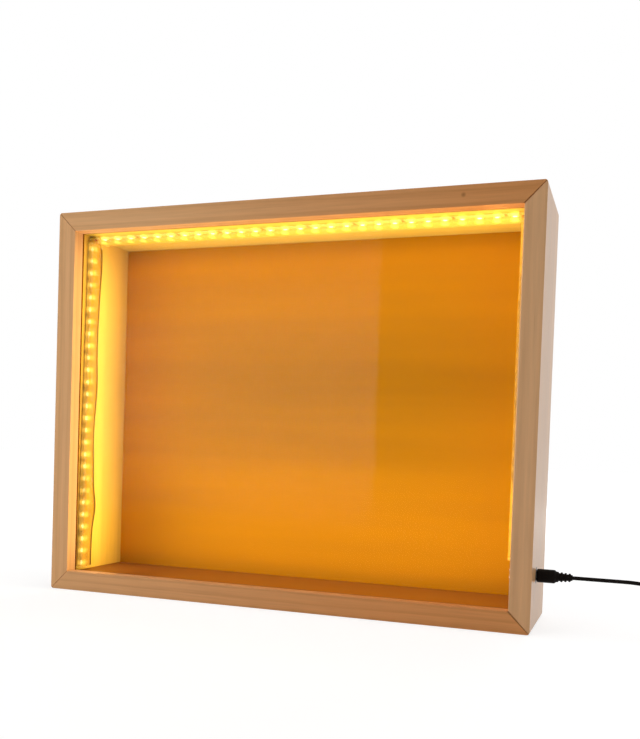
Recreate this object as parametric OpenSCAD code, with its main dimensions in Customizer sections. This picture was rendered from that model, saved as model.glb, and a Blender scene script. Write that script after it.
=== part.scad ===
// LED shadow box: a mitred pine box frame with a clear front pane, warm light strips in clear sleeves
// along three inner walls, a back panel held by turn buttons, a hanging ring and a 5 V power lead.
// Millimetres. X runs along the width, Y from the front to the back and Z up. The origin is the middle
// of the bottom face.

/* [Box frame] */
// Outer width of the box
box_w = 284; // [240:1:360]
// Outer height of the box
box_h = 225; // [190:1:300]
// Depth from the front face to the back edge
box_d = 63; // [58:1:80]
// Width of the wooden face around the opening
face_w = 11; // [10.5:0.5:14]
// Thickness of the boards behind the lip
rim_w = 6; // [5:0.5:6.5]
// Depth of the lip in front of the pane
lip_d = 8; // [5:0.5:10]
// Rounding of the four outer corners
corner_r = 1.5; // [0.5:0.1:3]
// Length of each leg of the V nails across the mitres
v_nail_leg = 4.5; // [3:0.5:6]
// Thickness of the V nails
v_nail_t = 0.6; // [0.4:0.1:1]
// Depth of the V nails from the back edge
v_nail_d = 8; // [5:0.5:12]

/* [Pane, spacers and back] */
// Thickness of the clear pane
pane_t = 2; // [1.5:0.5:3]
// Thickness of the spacer boards that line the walls
spacer_t = 4; // [3:0.5:4.5]
// Thickness of the back panel
panel_t = 3; // [2.5:0.5:4]
// Clearance around the edges of the pane and the back panel
edge_gap = 0.25; // [0.1:0.05:0.5]

/* [Light strips] */
// Lamps in the strip along the top wall
lamps_top = 28; // [10:1:30]
// Lamps in the strip on the left wall
lamps_left = 27; // [10:1:30]
// Lamps in the strip on the right wall
lamps_right = 24; // [10:1:28]
// Length of one lamp along its strip
lamp_l = 3.5; // [2.5:0.1:3.6]
// Width of one lamp across its strip
lamp_w = 2.8; // [2:0.1:3.5]
// Height of one lamp over its strip
lamp_t = 0.8; // [0.5:0.1:1.2]
// Diameter of a lamp's round lens
lens_d = 2.2; // [1.4:0.1:2.6]
// Height of the lens over its lamp
lens_t = 0.2; // [0.1:0.05:0.4]
// Width of the flexible board that carries the lamps
flex_w = 4; // [4:0.5:8]
// Thickness of the flexible board
flex_t = 0.4; // [0.3:0.1:0.6]
// Width of the clear sleeve around a strip
sleeve_w = 12; // [10:0.5:14]
// Height of the clear sleeve over its wall
sleeve_t = 4.2; // [3.6:0.1:5]
// Wall of the clear sleeve
sleeve_wall = 0.6; // [0.4:0.1:0.8]
// Rounding of the sleeve's two inner edges
sleeve_r = 1.6; // [0.8:0.1:1.8]
// Length of the plug that closes each end of a sleeve
cap_l = 1.5; // [1:0.1:3]
// Clearance between the sleeves and the pane, and of a strip in its sleeve
strip_gap = 0.3; // [0.2:0.1:0.6]
// How far the lower end of the left strip was stuck towards the front
slant = 3.5; // [0:0.5:5]
// How far the strip on the top wall lies behind those on the side walls
top_back = 4; // [0:0.5:8]
// Clearance between two sleeves that meet in a corner
corner_gap = 0.4; // [0.3:0.1:1]
// Free height under the strip on the left wall
left_foot = 1.5; // [1:0.5:10]
// Free height under the strip on the right wall, for the socket and its feed wires
right_foot = 25; // [24:0.5:40]
// Diameter of the thin wires between the strips
wire_d = 1; // [0.8:0.1:1.2]
// Spacing of the two wires of a pair
wire_pitch = 3; // [2.5:0.5:4]

/* [Power socket] */
// Height of the socket's axis over the bottom face
socket_z = 27.5; // [25:0.5:28]
// Diameter of the socket's barrel
socket_d = 6; // [5.5:0.1:7]
// Depth of the socket's axis behind the lamp row
socket_in = 5; // [4:0.5:20]
// Diameter of the flange, which lies flush in the outer face
flange_d = 8.6; // [8:0.1:10]
// Thickness of the flange
flange_t = 0.8; // [0.6:0.1:1.5]
// Length of the socket behind its nut
socket_back = 0.5; // [0.4:0.1:4]
// Width of the nut across its flats
nut_w = 9; // [8:0.5:10]
// Thickness of the nut
nut_t = 2; // [1.5:0.1:3]
// Diameter of the socket's centre pin
pin_d = 1.3; // [1:0.05:1.3]
// Depth of the centre pin's end behind the socket's mouth
pin_sink = 1; // [0.5:0.1:3]
// Length of the two solder tags
tag_l = 1.4; // [1.2:0.1:3]
// Width of the solder tags
tag_w = 2; // [1.5:0.1:3]
// Thickness of the solder tags
tag_t = 0.4; // [0.3:0.1:0.6]
// Distance of each solder tag from the socket's axis
tag_off = 2; // [1.5:0.1:2.4]

/* [Power lead] */
// Outer diameter of the plug's metal barrel
barrel_d = 3.5; // [3:0.1:4]
// Length of the barrel that enters the socket
barrel_l = 9.5; // [8:0.5:10]
// Length of the dark tip ring on the barrel
tip_l = 0.8; // [0.5:0.1:1.5]
// Radial clearance of the barrel in the socket and round the centre pin
plug_gap = 0.1; // [0.05:0.01:0.1]
// Diameter of the plug's moulded grip
grip_d = 7; // [6:0.1:8]
// Length of the plug's grip
grip_l = 10; // [8:0.5:16]
// Chamfer at the front of the plug's grip
grip_chamfer = 0.6; // [0.3:0.1:1]
// Length of the shoulder from the plug's grip to its strain relief
shoulder_l = 1; // [0.5:0.1:2]
// Depth of the barrel in the grip
barrel_hold = 3; // [2:0.5:5]
// Thickness of the barrel's closed end in the grip
barrel_floor = 1; // [0.5:0.1:1.5]
// Diameter of the strain relief where it leaves the grip
relief_d = 5.4; // [4:0.1:5.8]
// Diameter of the strain relief at the cord
relief_end_d = 4; // [3:0.1:4.5]
// Length of the strain relief
relief_l = 8; // [6:0.5:14]
// Rings moulded on the strain relief
relief_rings = 4; // [2:1:5]
// Depth of the grooves between the strain relief's rings
relief_groove = 0.5; // [0.2:0.1:0.7]
// Diameter of the cord
cord_d = 2; // [1.8:0.1:2.2]
// Full loops in the coil, before its last three quarters of a loop
coil_loops = 11; // [7:1:15]
// Radius of the coil's innermost loops, at the middle of the cord
coil_inner_r = 8.2; // [8:0.1:9]
// Clearance between neighbouring loops of one layer
loop_gap = 0.58; // [0.5:0.01:0.8]
// Clearance between two layers of loops
layer_gap = 0.5; // [0.45:0.01:0.8]
// Thickness of the tie around the coil
tie_t = 0.5; // [0.4:0.1:0.8]
// Width of the tie
tie_w = 5; // [3:0.5:8]
// Clearance between the tie and the coil
tie_gap = 0.3; // [0.2:0.1:0.5]

/* [Supply plug] */
// Width of the supply plug's grip
supply_w = 15; // [14:0.5:18]
// Thickness of the supply plug's grip
supply_t = 8; // [7:0.5:9]
// Length of the supply plug's grip
supply_l = 22; // [18:0.5:30]
// Rounding of the supply plug's long edges
supply_r = 2.5; // [1:0.1:3]
// Length of the supply plug's tapered relief
supply_relief_l = 8; // [6:0.5:14]
// Wall of the tapered relief around the cord
supply_relief_wall = 0.6; // [0.4:0.1:1]
// Diameter of the tapered relief at the grip
supply_relief_d = 6.8; // [5:0.1:7]
// Width of the supply plug's metal shell
shell_w = 12; // [11:0.1:12.5]
// Height of the supply plug's metal shell
shell_h = 4.5; // [4.3:0.1:5]
// Length of the supply plug's metal shell
shell_l = 18.5; // [12:0.5:20]
// Wall of the metal shell
shell_wall = 0.3; // [0.2:0.05:0.4]
// Rounding of the metal shell's long edges
shell_r = 0.5; // [0.45:0.05:1]
// Width of each window in the metal shell's top
window_w = 2.5; // [1.5:0.1:3]
// Length of the windows
window_l = 2; // [1.5:0.1:3]
// Distance of the windows from the mouth of the shell
window_in = 5.2; // [4:0.1:7]
// Spacing of the two windows
window_pitch = 5.5; // [4:0.1:6]
// Thickness of the tongue in the shell
tongue_t = 1.8; // [1.5:0.1:2]
// Depth of the tongue's end behind the mouth of the shell
tongue_sink = 1; // [0.5:0.1:2]
// Contacts on the tongue
contacts = 4; // [2:1:4]
// Length of a contact
contact_l = 9; // [6:0.5:10]
// Width of a contact
contact_w = 1; // [0.8:0.1:1.4]
// Height of a contact over the tongue
contact_t = 0.2; // [0.1:0.05:0.3]
// Spacing of the contacts
contact_pitch = 2.2; // [1.8:0.1:2.6]

/* [Back fittings] */
// Distance of the turn buttons from the middle of the box
button_x = 92; // [40:1:110]
// Length of a turn button from its screw to its tip
button_l = 17; // [12:0.5:22]
// Width of a turn button
button_w = 6; // [5:0.5:6]
// Thickness of a turn button
button_t = 1.2; // [0.8:0.1:2]
// Clearance under and over a turn button
button_gap = 0.1; // [0.05:0.01:0.2]
// Shank diameter of the screws
screw_d = 2; // [1.6:0.1:2.4]
// Head diameter of the screws
head_d = 4.4; // [3.6:0.1:5]
// Head height of the screws
head_t = 1.2; // [0.8:0.1:1.8]
// Length of the turn button screws in the wood
screw_l = 10; // [6:0.5:14]
// Radial clearance of a turning part on its pin
pin_gap = 0.1; // [0.05:0.01:0.1]
// Height of the hanging ring's pivot under the top of the box
hanger_drop = 30; // [26:0.5:50]
// Wire diameter of the hanging ring
ring_d = 2; // [1.6:0.1:2.4]
// Width of the hanging ring between the middles of its legs
ring_w = 22; // [18:0.5:28]
// Length of the hanging ring's straight legs
ring_leg = 12; // [10:0.5:16]
// Width of the hanger's strap
strap_w = 10; // [8:0.5:12]
// Sheet thickness of the strap, which is folded double
strap_t = 0.8; // [0.6:0.05:1]
// Length of the strap below the pivot
strap_l = 12; // [10:0.5:13]
// Depth of the strap's screws in the back panel
strap_screw_l = 2.4; // [1.5:0.1:2.4]
// Distance of the strap's upper screw from the pivot
strap_screw_top = 5; // [4.8:0.1:5.2]
// Distance of the strap's lower screw from its end
strap_screw_edge = 2.6; // [2:0.1:2.8]
// Head diameter of the strap's screws
strap_head_d = 3.6; // [3:0.1:3.8]

/* [Hidden] */
$fn = 48;

// A small overshoot that lets a cut pass clean through
over = 0.1;
// Clearance of fixed round pieces in their holes
seat_gap = 0.05;

// Planes across the depth
front_y = -box_d / 2;
back_y = box_d / 2;
pane_y = front_y + lip_d;
spacer_y = pane_y + pane_t;
panel_y = back_y - panel_t;

// Inner walls, between the faces of the spacers
wall_x = box_w / 2 - rim_w - spacer_t;
ceiling_z = box_h - rim_w - spacer_t;
floor_z = rim_w + spacer_t;

// Light strips: the lamp row is the strip's own axis
row_inset = sleeve_wall + strip_gap + flex_w / 2;
row_y = spacer_y + strip_gap + slant + row_inset;
top_row_y = row_y + top_back;
jumper_r = sleeve_t / 2 + corner_gap;
strip_end_x = wall_x - sleeve_t / 2 - jumper_r;
strip_end_z = ceiling_z - sleeve_t / 2 - jumper_r;
top_len = 2 * strip_end_x;
left_len = strip_end_z - floor_z - left_foot - seat_gap;
right_len = strip_end_z - floor_z - right_foot;
flex_x = sleeve_wall;
lamp_x = flex_x + flex_t;
wire_x = sleeve_t / 2;

// Socket and plug, on one axis through the right wall, under the strip there
socket_y = row_y + socket_in;
mouth_x = box_w / 2;
socket_end_x = wall_x - nut_t - socket_back;
bore_end_x = mouth_x - barrel_l - tip_l - 2 * plug_gap;
tag_x = socket_end_x - tag_l / 2;
grip_x = mouth_x + 2 * plug_gap;
cord_x = grip_x + grip_l + relief_l;

// The free stretch of the cord: way along X from the strain relief, and share of the way down
lead_route = [
  [0, 0], [8, 0], [16, 0], [24, 0], [30, 0.005], [35.5, 0.03], [40.5, 0.085], [45, 0.18], [49, 0.305],
  [52.5, 0.45], [56, 0.61], [60, 0.775], [64.5, 0.905], [69, 0.975], [73, 1], [75, 1]
];
// The stretch from the coil to the supply plug: ways along X and Y, and share of the way down
tail_route = [
  [0, 0, 0], [0, -5, 0], [0.2, -11, 0.06], [0.8, -17, 0.18], [2.6, -22.5, 0.36], [6, -27, 0.56],
  [10.5, -30.2, 0.75], [15, -31.7, 0.92], [19, -32, 1], [22, -32, 1]
];
coil_layers = 4;
loop_rings = 24;
coil_turns = coil_loops + 0.75;
layer_turns = coil_turns / coil_layers;
coil_outer_r = coil_inner_r + layer_turns * (cord_d + loop_gap);
layer_step = cord_d + layer_gap;
lay_z = tie_t + tie_gap + cord_d / 2;
coil_x = cord_x + lead_route[len(lead_route) - 1][0] + cord_d;
coil_y = socket_y + coil_outer_r;
coil_top_z = lay_z + (coil_layers - 1) * layer_step;
tail_start = [coil_x - coil_outer_r, coil_y - cord_d, coil_top_z];
tail_end = tail_route[len(tail_route) - 1];
supply_x = tail_start[0] + tail_end[0];
supply_y = tail_start[1] + tail_end[1];
supply_z = supply_t / 2;
shell_x = supply_x + supply_relief_l + supply_l;
tongue_z = supply_z - shell_h / 2 + shell_wall;

// Back fittings
button_edge = rim_w / 2;
pivot_y = back_y + strap_t + ring_d / 2 + pin_gap;
pivot_z = box_h - hanger_drop;
strap_screw_at = [strap_screw_top, strap_l - strap_screw_edge];
dome_share = 0.6;

pine = "burlywood";
steel = "silver";
black = "#202020";

// Helpers

// A flat outline in X and Z, as deep as from y0 to y1
module slab(y0, y1) {
  translate([0, y1, 0]) rotate([90, 0, 0]) linear_extrude(y1 - y0) children();
}

// A cylinder or cone along X, from x0 to x1
module rod_x(x0, x1, d, d2) {
  translate([x0, 0, 0]) rotate([0, 90, 0])
    cylinder(h = x1 - x0, d1 = d, d2 = is_undef(d2) ? d : d2);
}

// A rectangle centred on the origin with round corners
module round_rect(w, h, r) {
  square([w - 2 * r, h], center = true);
  square([w, h - 2 * r], center = true);
  for (x = [-1, 1], y = [-1, 1])
    translate([x * (w / 2 - r), y * (h / 2 - r)]) circle(r);
}

function unit(v) = v / norm(v);
function along(p, i) = unit(p[min(i + 1, len(p) - 1)] - p[max(i - 1, 0)]);
function flattened(n, t) = unit(n - (n * t) * t);
function swept_normals(p, n, i = 0) =
  i == len(p) ? []
  : let (m = flattened(n, along(p, i))) concat([m], swept_normals(p, m, i + 1));

// One tube of triangles along the points p; n is any direction across the first stretch
module tube(p, d, sides, n) {
  normals = swept_normals(p, n);
  last = (len(p) - 1) * sides;
  rings = [
    for (i = [0 : len(p) - 1])
      let (t = along(p, i), u = normals[i], v = cross(t, u))
        for (k = [0 : sides - 1]) p[i] + d / 2 * (cos(360 * k / sides) * u + sin(360 * k / sides) * v)
  ];
  walls = [
    for (i = [0 : len(p) - 2], k = [0 : sides - 1])
      let (a = i * sides + k, b = i * sides + (k + 1) % sides)
        each [[a, a + sides, b + sides], [a, b + sides, b]]
  ];
  ends = [for (k = [1 : sides - 2]) each [[0, k, k + 1], [last, last + k + 1, last + k]]];
  polyhedron(rings, concat(walls, ends));
}

function bezier(a, b, c, d, steps) = [
  for (i = [0 : steps])
    let (t = i / steps, s = 1 - t) s * s * s * a + 3 * s * s * t * b + 3 * s * t * t * c + t * t * t * d
];

// Frame boards

module box_outline() {
  translate([0, box_h / 2]) round_rect(box_w, box_h, corner_r);
}

module opening(inset) {
  translate([0, box_h / 2]) square([box_w - 2 * inset, box_h - 2 * inset], center = true);
}

// The part of the frame between two mitres; side is 1 for the top and right boards, -1 for the others
module rail_part(side) {
  translate([0, box_h / 2]) scale_side(side, false)
    polygon([[-box_w / 2, box_h / 2], [box_w / 2, box_h / 2],
             [box_w / 2 - face_w, box_h / 2 - face_w], [face_w - box_w / 2, box_h / 2 - face_w]]);
}

module stile_part(side) {
  translate([0, box_h / 2]) scale_side(side, true)
    polygon([[box_w / 2, -box_h / 2], [box_w / 2, box_h / 2],
             [box_w / 2 - face_w, box_h / 2 - face_w], [box_w / 2 - face_w, face_w - box_h / 2]]);
}

module scale_side(side, across) {
  if (side > 0) children();
  else mirror(across ? [1, 0] : [0, 1]) children();
}

// A board with its lip in front and its rabbet behind; children() is its part of the frame
module frame_board() {
  difference() {
    union() {
      slab(front_y, back_y) intersection() {
        difference() {
          box_outline();
          opening(rim_w);
        }
        children();
      }
      slab(front_y, pane_y) intersection() {
        difference() {
          box_outline();
          opening(face_w);
        }
        children();
      }
    }
    v_nail_group();
    at_buttons() cylinder(h = screw_l, d = screw_d + 2 * seat_gap);
  }
}

// Across each mitre one V nail, its bend on the mitre line
module v_nail_group() {
  for (x = [-1, 1], z = [0, 1])
    translate([x * (box_w / 2 - rim_w / 2), 0, z ? box_h - rim_w / 2 : rim_w / 2])
      mirror([x > 0 ? 1 : 0, 0, 0]) mirror([0, 0, z])
        slab(back_y - v_nail_d, back_y) polygon([
          [0, 0], [v_nail_leg, 0], [v_nail_leg, v_nail_t], [v_nail_t, v_nail_t],
          [v_nail_t, v_nail_leg], [0, v_nail_leg]
        ]);
}

// Each turn button's place: Z into the wood from the back edge
module at_buttons() {
  for (i = [0 : 3]) at_button(i) rotate([90, 0, 0]) children();
}

// Buttons a and b sit on the top rail, c and d on the bottom rail
module at_button(i) {
  translate([i % 2 ? button_x : -button_x, back_y, i < 2 ? box_h - button_edge : button_edge]) children();
}

module top_rail() {
  color(pine) frame_board() rail_part(1);
}

module bottom_rail() {
  color(pine) frame_board() rail_part(-1);
}

module left_stile() {
  color(pine) frame_board() stile_part(-1);
}

module right_stile() {
  color(pine) difference() {
    frame_board() stile_part(1);
    socket_hole();
  }
}

module socket_hole() {
  at_socket() {
    rod_x(wall_x - over, mouth_x + over, socket_d + 2 * seat_gap);
    rod_x(mouth_x - flange_t, mouth_x + over, flange_d + 2 * seat_gap);
  }
}

module v_nails() {
  color(steel) v_nail_group();
}

// Pane, spacers and back

module front_pane() {
  color("azure", 0.3) slab(pane_y, spacer_y) opening(rim_w + edge_gap);
}

module spacer(w, z) {
  translate([-w / 2, spacer_y, z]) cube([w, panel_y - spacer_y, spacer_t]);
}

module spacer_top() {
  color("moccasin") spacer(box_w - 2 * rim_w, ceiling_z);
}

module spacer_bottom() {
  color("moccasin") spacer(box_w - 2 * rim_w, rim_w);
}

module side_spacer(x) {
  translate([x, spacer_y, floor_z]) cube([spacer_t, panel_y - spacer_y, ceiling_z - floor_z]);
}

module spacer_left() {
  color("moccasin") side_spacer(-wall_x - spacer_t);
}

module spacer_right() {
  color("moccasin") difference() {
    side_spacer(wall_x);
    socket_hole();
  }
}

module back_panel() {
  color("peru") difference() {
    slab(panel_y, back_y) opening(rim_w + edge_gap);
    at_strap_screws() translate([0, 0, -strap_screw_l])
      cylinder(h = strap_screw_l + over, d = screw_d + 2 * seat_gap);
  }
}

// Light strips, each drawn upright on a wall at X = 0 with its lamp row on the Z axis

module on_top() {
  translate([-strip_end_x, top_row_y, ceiling_z]) rotate([0, 90, 0]) children();
}

module on_left() {
  translate([-wall_x, row_y, strip_end_z - seat_gap]) rotate([-asin(slant / left_len), 0, 0])
    mirror([0, 0, 1]) children();
}

module on_right() {
  translate([wall_x, row_y, strip_end_z]) mirror([1, 0, 0]) mirror([0, 0, 1]) children();
}

module flex_board(length) {
  translate([flex_x, -flex_w / 2, cap_l]) cube([flex_t, flex_w, length - 2 * cap_l]);
}

module lamp_row(length, count) {
  inset = cap_l + strip_gap + lamp_l / 2;
  pitch = (length - 2 * inset) / (count - 1);
  for (i = [0 : count - 1])
    translate([lamp_x, 0, inset + i * pitch]) {
      translate([0, -lamp_w / 2, -lamp_l / 2]) cube([lamp_t, lamp_w, lamp_l]);
      rod_x(0, lamp_t + lens_t, min(lens_d, lamp_w, lamp_l));
    }
}

// A flat-backed sleeve outline, rounded on the side that faces into the box
module sleeve_outline() {
  translate([0, -row_inset]) {
    square([sleeve_t - sleeve_r, sleeve_w]);
    translate([0, sleeve_r]) square([sleeve_t, sleeve_w - 2 * sleeve_r]);
    for (y = [sleeve_r, sleeve_w - sleeve_r])
      translate([sleeve_t - sleeve_r, y]) circle(sleeve_r);
  }
}

module sleeve(length) {
  translate([0, 0, cap_l]) linear_extrude(length - 2 * cap_l) difference() {
    sleeve_outline();
    translate([sleeve_wall, sleeve_wall - row_inset])
      square([sleeve_t - 2 * sleeve_wall, sleeve_w - 2 * sleeve_wall]);
  }
}

module sleeve_ends(length) {
  for (z = [0, length - cap_l])
    translate([0, 0, z]) linear_extrude(cap_l) sleeve_outline();
}

module strip_top() {
  color("linen") on_top() flex_board(top_len);
}

module strip_left() {
  color("linen") on_left() flex_board(left_len);
}

module strip_right() {
  color("linen") on_right() flex_board(right_len);
}

module lamps_on_top() {
  color("gold") on_top() lamp_row(top_len, lamps_top);
}

module lamps_on_left() {
  color("gold") on_left() lamp_row(left_len, lamps_left);
}

module lamps_on_right() {
  color("gold") on_right() lamp_row(right_len, lamps_right);
}

module sleeve_top() {
  color("lightyellow", 0.4) on_top() sleeve(top_len);
}

module sleeve_left() {
  color("lightyellow", 0.4) on_left() sleeve(left_len);
}

module sleeve_right() {
  color("lightyellow", 0.4) on_right() sleeve(right_len);
}

module sleeve_plugs() {
  color("ivory") {
    on_top() sleeve_ends(top_len);
    on_left() sleeve_ends(left_len);
    on_right() sleeve_ends(right_len);
  }
}

// Wires between the strips: out of the top strip's ends, round the upper corners and into the side strips
module jumper_pair(y) {
  start = [strip_end_x, top_row_y + y, strip_end_z + jumper_r];
  end = [strip_end_x + jumper_r, row_y + y, strip_end_z];
  leave = [wire_d / 2, 0, 0];
  arrive = [0, 0, wire_d / 2];
  reach = jumper_r / wire_d;
  points = concat(
    [start], bezier(start + leave, start + reach * leave, end + reach * arrive, end + arrive, 10), [end]
  );
  for (x = [0, 1]) mirror([x, 0, 0]) tube(points, wire_d, 8, [0, 0, 1]);
}

module jumper_wires_red() {
  color("red") jumper_pair(-wire_pitch / 2);
}

module jumper_wires_black() {
  color(black) jumper_pair(wire_pitch / 2);
}

// Wires from the socket's tags to the lower end of the right strip; rise is 1 for the upper tag
module feed_wire(rise) {
  start = [wall_x - wire_x, row_y + rise * wire_pitch / 2, floor_z + right_foot];
  end = [tag_x, socket_y, socket_z + rise * (tag_off + tag_t / 2)];
  leave = rise > 0 ? [0, 0, -wire_pitch] : [0, 0, -socket_z / 2];
  arrive = rise > 0 ? [0, -wire_d, wire_pitch] : [0, -wire_d, -socket_z / 4];
  square_end = end + [0, 0, rise * wire_d];
  points = concat(bezier(start, start + leave, square_end + arrive, square_end, 16), [end]);
  tube(points, wire_d, 8, [0, 1, 0]);
}

module feed_wire_red() {
  color("red") feed_wire(-1);
}

module feed_wire_black() {
  color(black) feed_wire(1);
}

// Socket in the right wall

module at_socket() {
  translate([0, socket_y, socket_z]) children();
}

module socket_body() {
  color(black) at_socket() difference() {
    union() {
      rod_x(mouth_x - flange_t, mouth_x, flange_d);
      rod_x(socket_end_x, mouth_x, socket_d);
    }
    rod_x(bore_end_x, mouth_x + over, barrel_d + 2 * plug_gap);
    rod_x(socket_end_x + tag_t, mouth_x, pin_d + 2 * seat_gap);
  }
}

module socket_nut() {
  color(steel) at_socket() difference() {
    translate([wall_x - nut_t, 0, 0]) rotate([0, 90, 0])
      cylinder(h = nut_t, d = nut_w / cos(30), $fn = 6);
    rod_x(wall_x - nut_t - over, wall_x + over, socket_d + 2 * seat_gap);
  }
}

module socket_pin() {
  color(steel) at_socket() rod_x(socket_end_x + tag_t, mouth_x - pin_sink, pin_d);
}

module socket_tags() {
  color(steel) at_socket()
    for (z = [-1, 1])
      translate([socket_end_x - tag_l / 2, 0, z * tag_off]) cube([tag_l, tag_w, tag_t], center = true);
}

// Plug on the lead

module plug_grip() {
  ring_step = relief_l / (2 * relief_rings);
  relief_x = grip_x + grip_l;
  color(black) at_socket() difference() {
    union() {
      rod_x(grip_x, grip_x + grip_chamfer, grip_d - 2 * grip_chamfer, grip_d);
      rod_x(grip_x + grip_chamfer, relief_x - shoulder_l, grip_d);
      rod_x(relief_x - shoulder_l, relief_x, grip_d, relief_d);
      rod_x(relief_x, cord_x, relief_d - 2 * relief_groove, relief_end_d - 2 * relief_groove);
      for (i = [0 : relief_rings - 1])
        let (x = relief_x + 2 * i * ring_step, taper = (relief_d - relief_end_d) / relief_rings)
          rod_x(x, x + ring_step, relief_d - i * taper);
    }
    rod_x(grip_x - over, grip_x + barrel_hold, barrel_d + 2 * seat_gap);
  }
}

module plug_barrel() {
  color(steel) at_socket() difference() {
    rod_x(mouth_x - barrel_l, grip_x + barrel_hold, barrel_d);
    rod_x(mouth_x - barrel_l - over, grip_x + barrel_hold - barrel_floor, pin_d + 2 * plug_gap);
  }
}

module plug_tip() {
  color(black) at_socket() difference() {
    rod_x(mouth_x - barrel_l - tip_l, mouth_x - barrel_l, barrel_d);
    rod_x(mouth_x - barrel_l - tip_l - over, mouth_x - barrel_l + over, pin_d + 2 * plug_gap);
  }
}

// Cord: a free stretch down to the floor, a coil in layers and a short stretch to the supply plug

module lead_cord() {
  points = [
    for (q = lead_route) [cord_x + q[0], socket_y, socket_z + q[1] * (lay_z - socket_z)]
  ];
  color(black) tube(points, cord_d, 8, [0, 1, 0]);
}

// Where the coil is after a number of turns: it spirals in on even layers and out on odd ones, and
// climbs one layer in the half turn around each reversal
function coil_radius(turns) =
  let (layer = min(floor(turns / layer_turns), coil_layers - 1), way = turns / layer_turns - layer)
    layer % 2 == 0 ? coil_outer_r + way * (coil_inner_r - coil_outer_r)
                   : coil_inner_r + way * (coil_outer_r - coil_inner_r);
function climbed(turns, layer) =
  let (s = min(max(2 * (turns - layer * layer_turns) + 0.5, 0), 1)) s * s * (3 - 2 * s);
function coil_rise(turns) =
  layer_step * (climbed(turns, 1) + climbed(turns, 2) + climbed(turns, 3));
function coil_point(turns) =
  let (a = 360 * turns - 90, r = coil_radius(turns))
    [coil_x + r * cos(a), coil_y + r * sin(a), lay_z + coil_rise(turns)];
function coil_points() = concat(
  [for (i = [0 : coil_turns * loop_rings]) coil_point(i / loop_rings)],
  [tail_start]
);

// The least clearance between stretches of the coil that are more than half a loop apart
function coil_self_gap(p) =
  min([
    for (i = [0 : len(p) - 1])
      for (j = [i + loop_rings / 2 + 1 : 1 : len(p) - 1]) norm(p[i] - p[j])
  ]) - cord_d;

module lead_coil() {
  points = concat([coil_point(0) - [cord_d, 0, 0]], coil_points());
  echo(coil_self_gap = coil_self_gap(points));
  echo(coil_length = sum_length(points));
  color(black) tube(points, cord_d, 6, [0, 1, 0]);
}

function sum_length(p, i = 1, total = 0) =
  i == len(p) ? total : sum_length(p, i + 1, total + norm(p[i] - p[i - 1]));

module lead_tail() {
  points = [
    for (q = tail_route) tail_start + [q[0], q[1], q[2] * (supply_z - coil_top_z)]
  ];
  color(black) tube(points, cord_d, 8, [1, 0, 0]);
}

module coil_tie() {
  inner_x = coil_x + coil_inner_r - cord_d / 2 - tie_gap - tie_w * tie_w / (8 * coil_inner_r);
  outer_x = coil_x + coil_outer_r + cord_d / 2 + tie_gap;
  top_z = coil_top_z + cord_d / 2 + tie_gap;
  color("dimgray") difference() {
    translate([inner_x - tie_t, coil_y - tie_w / 2, 0])
      cube([outer_x - inner_x + 2 * tie_t, tie_w, top_z + tie_t]);
    translate([inner_x, coil_y - tie_w / 2 - over, tie_t])
      cube([outer_x - inner_x, tie_w + 2 * over, top_z - tie_t]);
  }
}

// Supply plug at the far end of the lead, lying on the floor

module at_supply() {
  translate([0, supply_y, supply_z]) children();
}

// A rounded outline in Y and Z, as long as from x0 to x1
module bar_x(x0, x1, w, h, r) {
  translate([x0, 0, 0]) rotate([90, 0, 90]) linear_extrude(x1 - x0) round_rect(w, h, r);
}

module supply_grip() {
  color(black) at_supply() {
    rod_x(supply_x, supply_x + supply_relief_l, cord_d + 2 * supply_relief_wall, supply_relief_d);
    bar_x(supply_x + supply_relief_l, shell_x, supply_w, supply_t, supply_r);
  }
}

module supply_shell() {
  color(steel) at_supply() difference() {
    bar_x(shell_x, shell_x + shell_l, shell_w, shell_h, shell_r);
    bar_x(shell_x - over, shell_x + shell_l + over, shell_w - 2 * shell_wall, shell_h - 2 * shell_wall,
          shell_r - shell_wall);
    for (y = [-1, 1])
      translate([shell_x + shell_l - window_in - window_l, (y * window_pitch - window_w) / 2, 0])
        cube([window_l, window_w, shell_h]);
  }
}

module supply_tongue() {
  width = shell_w - 2 * shell_r;
  color("white") translate([shell_x, supply_y - width / 2, tongue_z])
    cube([shell_l - tongue_sink, width, tongue_t]);
}

module supply_contacts() {
  end_x = shell_x + shell_l - 2 * tongue_sink;
  color("gold")
    for (i = [0 : contacts - 1])
      translate([end_x - contact_l, supply_y + (i - (contacts - 1) / 2) * contact_pitch - contact_w / 2,
                 tongue_z + tongue_t])
        cube([contact_l, contact_w, contact_t]);
}

// Hanger on the back panel

module at_pivot() {
  translate([0, pivot_y, pivot_z]) children();
}

// The strap's screws: Z out of the back panel
module at_strap_screws() {
  for (drop = strap_screw_at)
    translate([0, back_y, pivot_z - drop]) rotate([-90, 0, 0]) children();
}

module hanger_strap() {
  eye_r = ring_d / 2 + pin_gap;
  lie = pivot_y - back_y;
  color(steel) difference() {
    at_pivot() translate([-strap_w / 2, 0, 0]) rotate([90, 0, 90]) linear_extrude(strap_w) difference() {
      union() {
        circle(eye_r + strap_t);
        translate([-lie, -strap_l]) square([2 * strap_t, strap_l]);
      }
      circle(eye_r);
    }
    at_strap_screws() translate([0, 0, -over])
      cylinder(h = 2 * strap_t + 2 * over, d = screw_d + 2 * seat_gap);
  }
}

// A D-shaped ring that hangs from the strap's eye
module hanger_ring() {
  half = ring_w / 2;
  color(steel) at_pivot() {
    rod_x(-half, half, ring_d);
    for (x = [-half, half]) {
      translate([x, 0, 0]) sphere(d = ring_d);
      translate([x, 0, -ring_leg]) cylinder(h = ring_leg, d = ring_d);
    }
    translate([0, 0, -ring_leg]) rotate([90, 0, 0]) rotate([0, 0, 180])
      rotate_extrude(angle = 180) translate([half, 0]) circle(d = ring_d);
  }
}

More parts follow.
